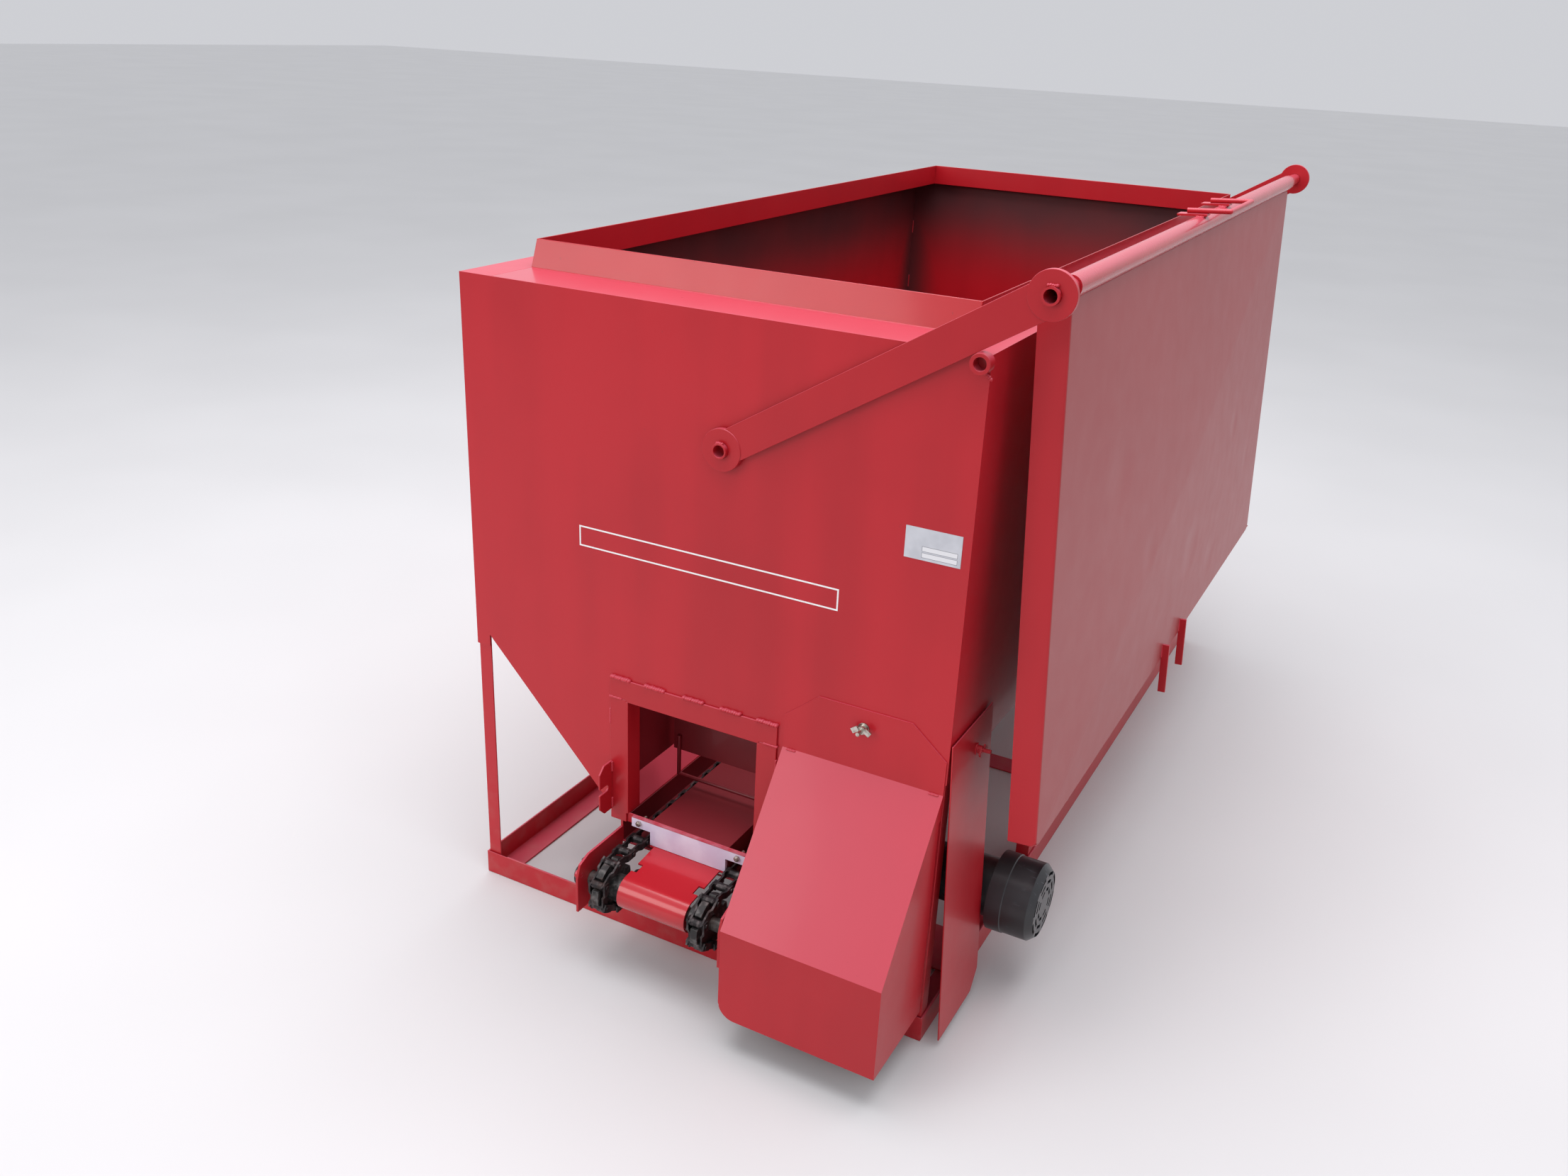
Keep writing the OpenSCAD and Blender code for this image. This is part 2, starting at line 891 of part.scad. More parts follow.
module motor_sprocket() {
  color("dimgray")
    difference() {
      union() {
        along_x(drive_x - 3.8, drive_x + 3.8)
          translate([motor_y, motor_z])
            roller_sprocket_outline(motor_teeth, motor_r);
        rod_x(drive_x, drive_x + 22, motor_y, motor_z, 40);
      }
      rod_x(drive_x - 6, drive_x + 24, motor_y, motor_z, motor_shaft_d + 2 * fit_gap);
    }
}

// Closed belt outline round both sprockets at a distance d outside the pitch line.
module belt_outline(d) {
  translate([shaft_y, shaft_z])
    circle(r = driven_r + d);
  translate([motor_y, motor_z])
    circle(r = motor_r + d);
  polygon([
    [shaft_y, shaft_z + driven_r + d], [motor_y, motor_z + motor_r + d],
    [motor_y, motor_z - motor_r - d], [shaft_y, shaft_z - driven_r - d]
  ]);
}

// Centres of the chain's rollers round both sprockets and along both runs.
function span(a, b) = [for (i = [1:run_links - 1]) a + (b - a) * i / run_links];
roller_centres = concat(
  [for (k = [0:driven_teeth / 2])
    let (a = 90 + k * 360 / driven_teeth) [shaft_y + driven_r * cos(a), shaft_z + driven_r * sin(a)]],
  [for (k = [0:motor_teeth / 2])
    let (a = 90 - k * 360 / motor_teeth) [motor_y + motor_r * cos(a), motor_z + motor_r * sin(a)]],
  span([shaft_y, shaft_z + driven_r], [motor_y, motor_z + motor_r]),
  span([shaft_y, shaft_z - driven_r], [motor_y, motor_z - motor_r])
);

module roller_chain() {
  color("slategray")
    union() {
      for (s = [-1, 1])
        translate([s * (roller_gap + roller_plate_t) / 2, 0, 0])
          along_x(drive_x - roller_plate_t / 2, drive_x + roller_plate_t / 2)
            difference() {
              belt_outline(6.5);
              belt_outline(-6.5);
            }
      for (c = roller_centres)
        rod_x(drive_x - roller_gap / 2, drive_x + roller_gap / 2, c[0], c[1], roller_d);
    }
}

// Upright plate on a foot that stands on the base rail's flat leg.
module motor_mount() {
  y0 = motor_y - 80;
  y1 = motor_y + 80;
  reach = half_w + rail_out - rail_t;
  color("firebrick")
    difference() {
      union() {
        block([motor_plate_x, y0, rail_t], [motor_body_x, y1, motor_z + 90]);
        block([motor_body_x, y0, rail_t], [reach, y1, rail_t + 6]);
      }
      rod_x(motor_plate_x - 1, motor_body_x + 1, motor_y, motor_z, motor_shaft_d + 4);
    }
}

module gearbox_housing() {
  color("dimgray")
    difference() {
      rod_x(motor_body_x, can_x, motor_y, motor_z, can_d - 16);
      rod_x(motor_body_x - 1, motor_body_x + 40, motor_y, motor_z, motor_shaft_d + 2 * fit_gap);
      rod_x(motor_body_x + 12, can_x - 12, motor_y, motor_z, can_d - 44);
      rod_x(can_x - 13, can_x + 1, motor_y, motor_z, 16 + 2 * fit_gap);
    }
}

// Output shaft with the carrier disc of the reduction gear.
module output_shaft() {
  color("gray")
    union() {
      rod_x(drive_x - 4, motor_body_x + 30, motor_y, motor_z, motor_shaft_d);
      rod_x(motor_body_x + 20, motor_body_x + 40, motor_y, motor_z, 80);
    }
}

module motor_can() {
  color("#202022")
    difference() {
      rod_x(can_x, cover_x + 20, motor_y, motor_z, can_d - 10);
      rod_x(can_x + 6, cover_x + 8, motor_y, motor_z, can_d - 26);
      rod_x(can_x - 1, cover_x + 21, motor_y, motor_z, 16 + 2 * fit_gap);
    }
}

// Ventilated cover: a cap with a chamfered shoulder and rings of slots in its end.
module motor_cover() {
  skin = 4;
  shoulder = 16;
  depth = motor_end_x - cover_x;
  color("#1c1c1e")
    difference() {
      translate([cover_x, motor_y, motor_z])
        rotate([0, 90, 0])
          rotate_extrude()
            polygon([
              [0, 0], [cover_d / 2, 0], [cover_d / 2, 36], [cover_d / 2 - 2, 38],
              [cover_d / 2 - 2, depth - shoulder], [cover_d / 2 - shoulder, depth], [0, depth]
            ]);
      rod_x(cover_x + skin, motor_end_x - 8 - skin, motor_y, motor_z, cover_d - shoulder - 2 * skin);
      rod_x(cover_x - 1, cover_x + skin + 1, motor_y, motor_z, can_d - 9.6);
      for (r = [0.17, 0.27, 0.37] * cover_d)
        for (k = [0:7])
          translate([motor_end_x - 20, motor_y, motor_z])
            rotate([k * 45 + 8, 0, 0])
              rotate([0, 90, 0])
                rotate_extrude(angle = 30)
                  translate([r, 0])
                    square([8, 30]);
    }
}

// Armature with its shaft and the cooling fan at the covered end.
module motor_armature() {
  fan_x = cover_x + 34;
  color("goldenrod")
    union() {
      rod_x(can_x - 26, fan_x + 30, motor_y, motor_z, 16);
      rod_x(can_x + 16, cover_x - 2, motor_y, motor_z, 88);
      rod_x(fan_x, fan_x + 6, motor_y, motor_z, 120);
      for (k = [0:5])
        translate([fan_x, motor_y, motor_z])
          rotate([k * 60, 0, 0])
            translate([0, -2, 12])
              cube([26, 4, 60]);
    }
}

// What a rounded lower corner leaves out of a square one at the origin.
module corner_cut(r) {
  difference() {
    translate([-1, -1])
      square(r + 1);
    translate([r, r])
      circle(r);
  }
}

// Folded hood over the chain drive in front of the panel, notched for the drive shaft.
module drive_hood() {
  skin = 3;
  notch = 60;
  corner_r = 40;
  chamfer_x = 80;
  chamfer_z = 67;
  bend_y = front - skin;
  nose_y = front - hood_reach;
  color("indianred")
    union() {
      along_y(bend_y, front)
        difference() {
          polygon([
            [hood_x[0], hood_fold_z], [hood_x[0], hood_top_z - chamfer_z],
            [hood_x[0] + chamfer_x, hood_top_z], [hood_x[1] - chamfer_x, hood_top_z],
            [hood_x[1], hood_top_z - chamfer_z], [hood_x[1], hood_fold_z]
          ]);
          translate([wing_x, wing_z])
            circle(d = wing_hole_d);
        }
      difference() {
        along_x(hood_x[0], hood_x[1])
          polygon([
            [front, hood_fold_z], [bend_y, hood_fold_z], [nose_y, hood_nose_z], [nose_y, hood_low_z],
            [front - 2 * rail_t, hood_low_z], [front - 2 * rail_t, hood_fold_z - 60],
            [front, hood_fold_z - 60]
          ]);
        along_x(hood_x[0] + skin, hood_x[1] - skin)
          polygon([
            [front + 1, hood_fold_z - skin], [bend_y - 1, hood_fold_z - skin - 1],
            [nose_y + skin, hood_nose_z - 1], [nose_y + skin, hood_low_z - 1], [front + 1, hood_low_z - 1]
          ]);
        rod_x(hood_x[0] - 1, hood_x[0] + skin + 1, shaft_y, shaft_z, notch);
        block(
          [hood_x[0] - 1, shaft_y - notch / 2, hood_low_z - 1],
          [hood_x[0] + skin + 1, shaft_y + notch / 2, shaft_z]
        );
        along_y(nose_y - 1, nose_y + skin + 1)
          translate([hood_x[0], hood_low_z])
            corner_cut(corner_r);
        along_x(hood_x[0] - 1, hood_x[0] + skin + 1)
          translate([nose_y, hood_low_z])
            corner_cut(corner_r);
      }
    }
}

// Flat guard beside the drive, hung on one wing nut, its foot standing off the base rail.
module side_guard() {
  low = 18;
  cut = 40;
  color("firebrick")
    guard_frame()
      difference() {
        along_x(guard_out, guard_out + sheet_t)
          polygon([
            [front, low - guard_h], [front, 0], [front + guard_l, 0],
            [front + guard_l, low + cut - guard_h], [front + guard_l - cut, low - guard_h]
          ]);
        rod_x(0, 20, front + guard_bolt[0], guard_bolt[1] - guard_h, wing_hole_d);
      }
}

// Frame of the side guard: its top edge on the side wall, leaning out towards its foot.
module guard_frame() {
  translate([half_w, 0, guard_h])
    rotate([0, -guard_lean, 0])
      children();
}

// Wing nut with its bolt, standing out of a panel along -Y from the origin.
module wing_bolt(grip) {
  union() {
    rod_y(-32, grip, 0, 0, 9);
    rod_y(-13, -3, 0, 0, 18);
    rod_y(-3, 0, 0, 0, 26);
    for (s = [-1, 1])
      translate([s * 14, -14, 0])
        rotate([0, s * 35, 0])
          cube([16, 4, 12], center = true);
  }
}

module wing_bolts() {
  color("silver") {
    translate([wing_x, front - sheet_t, wing_z])
      wing_bolt(sheet_t * 2 + 14);
    guard_frame()
      translate([guard_out + sheet_t, front + guard_bolt[0], guard_bolt[1] - guard_h])
        rotate([0, 0, 90])
          wing_bolt(guard_out + sheet_t * 2 + 14);
  }
}

// ---- lid and its arms ----

// Stub pipes that carry the arms, and the stubs that the arms rest on.
module stub_set() {
  rest = [
    arm_pivot[0] + rest_along * cos(arm_angle) + rest_drop * sin(arm_angle),
    arm_pivot[1] + rest_along * sin(arm_angle) - rest_drop * cos(arm_angle)
  ];
  difference() {
    rod_y(front - stub_out, front, arm_pivot[0], arm_pivot[1], pipe_d);
    rod_y(front - stub_out - 1, front + 1, arm_pivot[0], arm_pivot[1], pipe_bore);
  }
  difference() {
    rod_y(front - stub_out, front, rest[0], rest[1], rest_d);
    rod_y(front - stub_out - 1, front + 1, rest[0], rest[1], pipe_bore);
  }
}

module pivot_stubs() {
  color("firebrick")
    for (sy = [-1, 1])
      scale([1, sy, 1])
        stub_set();
}

// Arm: a flat bar between two discs, seen along Y, from the pivot at the origin.
module arm(y0) {
  color("firebrick")
    translate([arm_pivot[0], y0, arm_pivot[1]])
      rotate([0, -arm_angle, 0])
        difference() {
          union() {
            rod_y(0, disc_t, 0, 0, disc_d);
            rod_y(0, disc_t, arm_len, 0, disc_d);
            block([0, (disc_t - arm_t) / 2, -arm_w / 2], [arm_len, (disc_t + arm_t) / 2, arm_w / 2]);
          }
          rod_y(-1, disc_t + 1, 0, 0, pipe_d + 2 * pivot_gap);
          rod_y(-1, disc_t + 1, arm_len, 0, pipe_d + 2 * fit_gap);
        }
}

module front_arm() {
  arm(arm_front_y);
}

module rear_arm() {
  arm(arm_rear_y);
}

// Pipe that joins both arms and carries the lid.
module lid_pipe() {
  y0 = front - stub_out;
  color("firebrick")
    difference() {
      rod_y(y0, -y0, lid_pivot[0], lid_pivot[1], pipe_d);
      rod_y(y0 - 1, -y0 + 1, lid_pivot[0], lid_pivot[1], pipe_bore);
    }
}

// Places a child in the stored lid's frame: X out of its face, Z up along it, from the hinge line.
module lid_frame() {
  translate([lid_pivot[0], 0, lid_pivot[1]])
    rotate([0, -lid_lean, 0])
      children();
}

module lid_sheet() {
  y0 = front + lid_inset;
  color("indianred")
    lid_frame()
      difference() {
        block([lid_offset - lid_skirt, y0, lid_top - lid_w], [lid_offset, y0 + lid_len, lid_top]);
        block(
          [lid_offset - lid_skirt - 1, y0 + lid_t, lid_top - lid_w + lid_t],
          [lid_offset - lid_t, y0 + lid_len - lid_t, lid_top - lid_t]
        );
      }
}

module lid_sleeve() {
  y0 = front + lid_inset;
  color("firebrick")
    lid_frame()
      difference() {
        rod_y(y0, y0 + lid_len, 0, 0, sleeve_d);
        rod_y(y0 - 1, y0 + lid_len + 1, 0, 0, pipe_d + 2 * pivot_gap);
      }
}

// Pull handle: a bent rod on two tabs on the hinge sleeve.
module lid_handle() {
  half = 130;
  out = 68;
  r = handle_rod_d / 2;
  tab_l = 70;
  tab_x = -52;
  color("firebrick")
    lid_frame()
      union() {
        for (s = [-1, 1]) {
          block([tab_x, s * half - 20, sleeve_d / 2], [tab_x + tab_l, s * half + 20, sleeve_d / 2 + 5]);
          rod_x(tab_x + 20, out, s * half, sleeve_d / 2 + 5 + r, handle_rod_d);
        }
        rod_y(-half, half, out, sleeve_d / 2 + 5 + r, handle_rod_d);
        for (s = [-1, 1])
          translate([out, s * half, sleeve_d / 2 + 5 + r])
            sphere(d = handle_rod_d);
      }
}

// Flat bars on edge that reach past the lid's free edge.
module lid_grab_bars() {
  bar_d = 20;
  bar_w = 8;
  above = 45;
  below = 95;
  low = lid_top - lid_w;
  color("firebrick")
    lid_frame()
      for (s = [-1, 1])
        block(
          [lid_offset, s * 100 - bar_w / 2, low - below],
          [lid_offset + bar_d, s * 100 + bar_w / 2, low + above]
        );
}

// ---- trip gate ----

// Plates behind the jambs that carry the flap's hinge rod.
module gate_hangers() {
  color("firebrick")
    for (sx = [-1, 1])
      scale([sx, 1, 1])
        difference() {
          block(
            [opening_half, front + sheet_t, flap_low_z],
            [opening_half + hanger_t, front + flap_y + 25, opening_top_z]
          );
          rod_x(opening_half - 1, opening_half + hanger_t + 1, front + flap_y, flap_hinge_z, gate_rod_d + 0.1);
        }
}

module gate_rod() {
  color("silver")
    rod_x(-opening_half - 12, opening_half + 12, front + flap_y, flap_hinge_z, gate_rod_d);
}

// Flap with a rolled eye on the rod and a bail below its lower edge.
module gate_flap() {
  y = front + flap_y;
  eye_d = gate_rod_d + 8;
  bail_d = 10;
  color("firebrick")
    difference() {
      union() {
        rod_x(-flap_half, flap_half, y, flap_hinge_z, eye_d);
        block([-flap_half, y - 2, flap_low_z], [flap_half, y + 2, flap_hinge_z]);
        for (s = [-1, 1]) {
          translate([s * bail_half, y - 6, bail_low_z])
            cylinder(h = 108, d = bail_d);
          translate([s * bail_half, y - 6, bail_low_z])
            sphere(d = bail_d);
        }
        rod_x(-bail_half, bail_half, y - 6, bail_low_z, bail_d);
      }
      rod_x(-flap_half - 1, flap_half + 1, y, flap_hinge_z, gate_rod_d + 2 * pivot_gap);
    }
}

// Blank rating plate on the front panel.
module label_plate() {
  color("gainsboro")
    block([half_w - 135.5, front - 0.8, 1133], [half_w - 18.5, front, 1198]);
}

front_panel();
rear_panel();
left_wall();
right_wall();
left_slope();
right_slope();
front_coaming();
rear_coaming();
left_coaming();
right_coaming();
corner_posts();
side_posts();
left_rail();
right_rail();
front_rail();
rear_rail();
cross_members();
trough_floor();
frame_header();
left_jamb();
right_jamb();
spout_brackets();
wiper_strip();
wiper_bolts();
nose_plate();
boot_sides();
boot_bolts();
shaft_bearings();
drive_shaft();
front_sprockets();
left_conveyor_chain();
right_conveyor_chain();
tail_sides();
tail_bearings();
tail_shaft();
tail_sprockets();
driven_sprocket();
motor_sprocket();
roller_chain();
motor_mount();
gearbox_housing();
output_shaft();
motor_can();
motor_cover();
motor_armature();
drive_hood();
side_guard();
wing_bolts();
pivot_stubs();
front_arm();
rear_arm();
lid_pipe();
lid_sheet();
lid_sleeve();
lid_handle();
lid_grab_bars();
gate_hangers();
gate_rod();
gate_flap();
label_plate();
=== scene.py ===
import json
import logging
import math
from dataclasses import dataclass, field
from enum import Enum
from typing import Iterable, Sequence

import bmesh
import bpy
from mathutils import Matrix, Vector


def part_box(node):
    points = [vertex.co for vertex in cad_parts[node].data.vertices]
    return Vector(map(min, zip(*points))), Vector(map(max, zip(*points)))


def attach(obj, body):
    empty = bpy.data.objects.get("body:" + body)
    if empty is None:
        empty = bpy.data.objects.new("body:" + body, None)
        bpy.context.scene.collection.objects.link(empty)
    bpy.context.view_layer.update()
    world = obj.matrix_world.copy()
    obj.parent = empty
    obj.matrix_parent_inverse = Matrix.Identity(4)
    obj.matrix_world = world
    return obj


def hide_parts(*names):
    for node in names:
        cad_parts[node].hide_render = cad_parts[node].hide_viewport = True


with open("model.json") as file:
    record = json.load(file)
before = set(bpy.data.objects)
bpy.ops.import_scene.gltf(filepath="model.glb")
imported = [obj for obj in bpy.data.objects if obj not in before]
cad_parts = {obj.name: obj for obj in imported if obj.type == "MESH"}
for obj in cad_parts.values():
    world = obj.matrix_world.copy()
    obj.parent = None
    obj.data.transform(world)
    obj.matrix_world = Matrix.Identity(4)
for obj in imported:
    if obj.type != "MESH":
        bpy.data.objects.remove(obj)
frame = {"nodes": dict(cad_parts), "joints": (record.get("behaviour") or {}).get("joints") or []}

log = logging.getLogger("range_cube_feeder")

Colour = tuple[float, float, float]
Point = tuple[float, float, float]

HALF_W = 0.6085
HALF_L = 1.25
FRONT = -HALF_L
LEDGE_Z = 1.547


class Slot(Enum):
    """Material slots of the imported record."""

    RED = "red_paint"
    STEEL = "dark_steel"
    LABEL = "label"


class Body(Enum):
    """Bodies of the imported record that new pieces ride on."""

    FRAME = "frame"
    DRIVE = "drive_line"
    TAIL = "tail_line"
    ARMS = "arms"
    LID = "lid"


# ---------------------------------------------------------------- shader bench


class Wire:
    """A number on a node's socket, with the operators that the finishes use."""

    def __init__(self, bench: "Bench", socket: bpy.types.NodeSocket) -> None:
        """Holds a socket of a bench's material.

        Args:
            bench: The bench that owns the nodes.
            socket: The output socket that carries the number.
        """
        self.bench = bench
        self.socket = socket

    def _math(self, operation: str, first: "Wire | float", second: "Wire | float") -> "Wire":
        """Adds one Math node.

        Args:
            operation: The node's operation.
            first: Left side.
            second: Right side.

        Returns:
            The result.
        """
        node = self.bench.node("ShaderNodeMath", {"operation": operation}, {0: first, 1: second})
        return Wire(self.bench, node.outputs[0])

    def __add__(self, other: "Wire | float") -> "Wire":
        """Sum."""
        return self._math("ADD", self, other)

    def __radd__(self, other: float) -> "Wire":
        """Sum with a number on the left."""
        return self._math("ADD", other, self)

    def __sub__(self, other: "Wire | float") -> "Wire":
        """Difference."""
        return self._math("SUBTRACT", self, other)

    def __rsub__(self, other: float) -> "Wire":
        """Difference with a number on the left."""
        return self._math("SUBTRACT", other, self)

    def __mul__(self, other: "Wire | float") -> "Wire":
        """Product."""
        return self._math("MULTIPLY", self, other)

    def __rmul__(self, other: float) -> "Wire":
        """Product with a number on the left."""
        return self._math("MULTIPLY", other, self)

    def __abs__(self) -> "Wire":
        """Size without sign."""
        return self._math("ABSOLUTE", self, 0.0)

    def __pow__(self, other: float) -> "Wire":
        """Power."""
        return self._math("POWER", self, other)

    def larger(self, other: "Wire | float") -> "Wire":
        """The larger of two numbers."""
        return self._math("MAXIMUM", self, other)

    def smaller(self, other: "Wire | float") -> "Wire":
        """The smaller of two numbers."""
        return self._math("MINIMUM", self, other)

    def fade(self, low: float, high: float) -> "Wire":
        """Passes smoothly from 0 at low to 1 at high, and stays there.

        Args:
            low: Where the result is 0.
            high: Where the result is 1.

        Returns:
            The mask.
        """
        ends = (low, high, 0.0, 1.0) if low < high else (high, low, 1.0, 0.0)
        node = self.bench.node(
            "ShaderNodeMapRange",
            {"interpolation_type": "SMOOTHSTEP", "clamp": True},
            {0: self, 1: ends[0], 2: ends[1], 3: ends[2], 4: ends[3]},
        )
        return Wire(self.bench, node.outputs[0])


class Bench:
    """One node material under construction, on the Object coordinates and normal of its piece."""

    def __init__(self, name: str) -> None:
        """Starts an empty material.

        Args:
            name: The material's name.
        """
        self.material = bpy.data.materials.new(name)
        self.material.use_nodes = True
        self.tree = self.material.node_tree
        self.tree.nodes.clear()
        self.output = self.node("ShaderNodeOutputMaterial")
        texture = self.node("ShaderNodeTexCoord")
        self.coords = texture.outputs["Object"]
        split = self.node("ShaderNodeSeparateXYZ", None, {0: self.coords})
        self.x, self.y, self.z = (Wire(self, split.outputs[i]) for i in range(3))
        facing = self.node("ShaderNodeSeparateXYZ", None, {0: texture.outputs["Normal"]})
        self.up = Wire(self, facing.outputs[2])
        self.out = Wire(self, facing.outputs[0])

    def node(self, kind: str, settings: dict | None = None, sockets: dict | None = None) -> bpy.types.Node:
        """Adds a node.

        Args:
            kind: The node's type.
            settings: Its own settings, set before its sockets.
            sockets: Values or links by socket name or number.

        Returns:
            The node.
        """
        made = self.tree.nodes.new(kind)
        for key, value in (settings or {}).items():
            setattr(made, key, value)
        for key, value in (sockets or {}).items():
            socket = made.inputs[key]
            if isinstance(value, Wire):
                self.tree.links.new(value.socket, socket)
            elif isinstance(value, bpy.types.NodeSocket):
                self.tree.links.new(value, socket)
            elif socket.type == "RGBA":
                socket.default_value = (*value, 1.0)
            else:
                socket.default_value = value
        return made

    def noise(self, scale: float, detail: float = 2.0, stretch: Point = (1.0, 1.0, 1.0)) -> Wire:
        """Smooth noise from 0 to 1 over the object.

        Args:
            scale: Lumps per metre.
            detail: Octaves of finer lumps.
            stretch: Lumps per metre along each axis, over the scale.

        Returns:
            The noise.
        """
        where = self.node("ShaderNodeMapping", None, {"Vector": self.coords, "Scale": stretch}).outputs[0]
        made = self.node("ShaderNodeTexNoise", None, {"Vector": where, "Scale": scale, "Detail": detail})
        return Wire(self, made.outputs[0])

    def distance(self, point: Point, squeeze: Point = (1.0, 1.0, 1.0)) -> Wire:
        """Distance from a point.

        Args:
            point: The point, in metres.
            squeeze: Weight of each axis.

        Returns:
            The distance, in metres.
        """
        moved = self.node("ShaderNodeVectorMath", {"operation": "SUBTRACT"}, {0: self.coords, 1: point})
        sockets = {0: moved.outputs[0], 1: squeeze}
        sized = self.node("ShaderNodeVectorMath", {"operation": "MULTIPLY"}, sockets)
        made = self.node("ShaderNodeVectorMath", {"operation": "LENGTH"}, {0: sized.outputs[0]})
        return Wire(self, made.outputs["Value"])

    def blend(
        self, mask: Wire, under: "Colour | bpy.types.NodeSocket", over: "Colour | bpy.types.NodeSocket"
    ) -> bpy.types.NodeSocket:
        """Lays one colour over another.

        Args:
            mask: 0 for the lower colour, 1 for the upper.
            under: The lower colour.
            over: The upper colour.

        Returns:
            The colour's socket.
        """
        made = self.node("ShaderNodeMix", {"data_type": "RGBA"}, {0: mask, 6: under, 7: over})
        return made.outputs[2]

    def relief(self, height: Wire, strength: float = 1.0) -> bpy.types.NodeSocket:
        """Turns a height in metres into a normal.

        Args:
            height: The height.
            strength: Share of the effect.

        Returns:
            The normal's socket.
        """
        made = self.node("ShaderNodeBump", None, {"Strength": strength, "Distance": 1.0, "Height": height})
        return made.outputs[0]

    def finish(self, **sockets) -> bpy.types.Material:
        """Closes the material with a Principled shader.

        Args:
            **sockets: Shader inputs, with underscores for spaces.

        Returns:
            The material.
        """
        named = {key.replace("_", " "): value for key, value in sockets.items()}
        shader = self.node("ShaderNodeBsdfPrincipled", None, named)
        self.tree.links.new(shader.outputs[0], self.output.inputs[0])
        return self.material


# -------------------------------------------------------------------- finishes


@dataclass(frozen=True)
class RedEnamel:
    """Sprayed gloss red enamel on steel sheet.

    Attributes:
        name: Material name.
        tone: Main colour.
        deep: Colour where the coat is thick.
        painted_top_light: Paler colour painted on the upward faces, a painted highlight that stands in for
            the sky's light.
        painted_top_light_from: Upward share of a face's direction where the painted top light starts and is
            full.
        painted_side_reflection: Greyer colour painted on the faces that look to the right, a painted
            reflection of the pale ground, if they have one.
        gloss: Roughness of the clear surface.
        coat: Weight of the glossy top coat.
        waves: Height of the sheet's slow waves, in metres.
        thin_coat_and_shade_inside: Whether the coat thins to dark grey inside the hopper's top, partly a
            thinner coat and partly painted shade under the ledge and in the inner corners.
        dust: Share of pale road dust near the ground.
        chips: Share of small chips.
        dents: Shallow dents, each a centre, a radius and a depth in metres.
        skin_outer: Depth below the shell's outside where the thinned coat and its painted shade start, in
            metres.
        skin_inner: Depth where it is full.
    """

    name: str
    tone: Colour = (0.470, 0.0105, 0.0190)
    deep: Colour = (0.395, 0.0080, 0.0150)
    painted_top_light: Colour = (0.530, 0.066, 0.100)
    painted_top_light_from: tuple[float, float] = (0.18, 0.80)
    painted_side_reflection: Colour | None = None
    gloss: float = 0.36
    coat: float = 0.12
    waves: float = 0.0006
    thin_coat_and_shade_inside: bool = False
    dust: float = 0.0
    chips: float = 0.15
    dents: tuple[tuple[Point, float, float], ...] = ()
    skin_outer: float = 0.0010
    skin_inner: float = 0.0022

    def make(self) -> bpy.types.Material:
        """Builds the material.

        Returns:
            The material.
        """
        b = Bench(self.name)
        cloud = b.noise(1.7, 3.0)
        runs = b.noise(9.0, 2.0, (1.0, 1.0, 0.12))
        colour = b.blend((cloud * 0.7 + runs * 0.5).fade(0.45, 0.8), self.tone, self.deep)
        # Painted top light: upward faces are blended to a paler colour that stands in for the sky's light.
        colour = b.blend(b.up.fade(*self.painted_top_light_from) * (0.86 + cloud * 0.14), colour, self.painted_top_light)
        # Painted reflection: faces that look to the right are greyed as if they mirrored the pale ground.
        if self.painted_side_reflection:
            colour = b.blend(b.out.fade(0.6, 0.95) * (0.9 + cloud * 0.1), colour, self.painted_side_reflection)
        rough = self.gloss + b.noise(14.0, 4.0) * 0.10 - 0.04
        if self.dust:
            low = b.z.fade(0.42, 0.02) * b.noise(24.0, 5.0).fade(0.42, 0.75) * self.dust
            colour = b.blend(low, colour, (0.42, 0.20, 0.17))
            rough = rough + low * 0.3
        if self.chips:
            spots = b.noise(95.0, 2.0).fade(0.735, 0.76) * b.noise(5.0, 2.0).fade(0.5, 0.66) * self.chips
            colour = b.blend(spots, colour, (0.10, 0.03, 0.03))
            rough = rough + spots * 0.3
        # Thinned coat and painted shade: the dark grey band below the ledge stands in for the ledge's shadow
        # as well as a thinner coat, and the corner term darkens the inner corners as painted shade.
        if self.thin_coat_and_shade_inside:
            inside_x = abs(b.x).fade(HALF_W - self.skin_outer, HALF_W - self.skin_inner)
            inside = inside_x * abs(b.y).fade(HALF_L - self.skin_outer, HALF_L - self.skin_inner)
            high = b.z.fade(1.16, 1.50)
            corner = abs(b.x).fade(0.47, 0.605) * abs(b.y).fade(1.11, 1.247)
            patchy = b.noise(1.6, 3.0).fade(0.25, 0.75)
            thin_coat_and_shade = inside * b.up.fade(0.8, 0.4) * (high * (0.74 + patchy * 0.26)).larger(corner * 0.8)
            colour = b.blend(thin_coat_and_shade, colour, (0.030, 0.020, 0.022))
            rough = rough + thin_coat_and_shade * 0.25
        height = b.noise(430.0, 1.0) * 0.000022 + b.noise(3.4, 1.0) * self.waves
        for centre, radius, depth in self.dents:
            height = height - b.distance(centre).fade(radius, 0.0) * depth
        return b.finish(
            Base_Color=colour,
            Roughness=rough,
            Normal=b.relief(height),
            Coat_Weight=self.coat,
            Coat_Roughness=0.09,
            Specular_IOR_Level=0.34,
        )


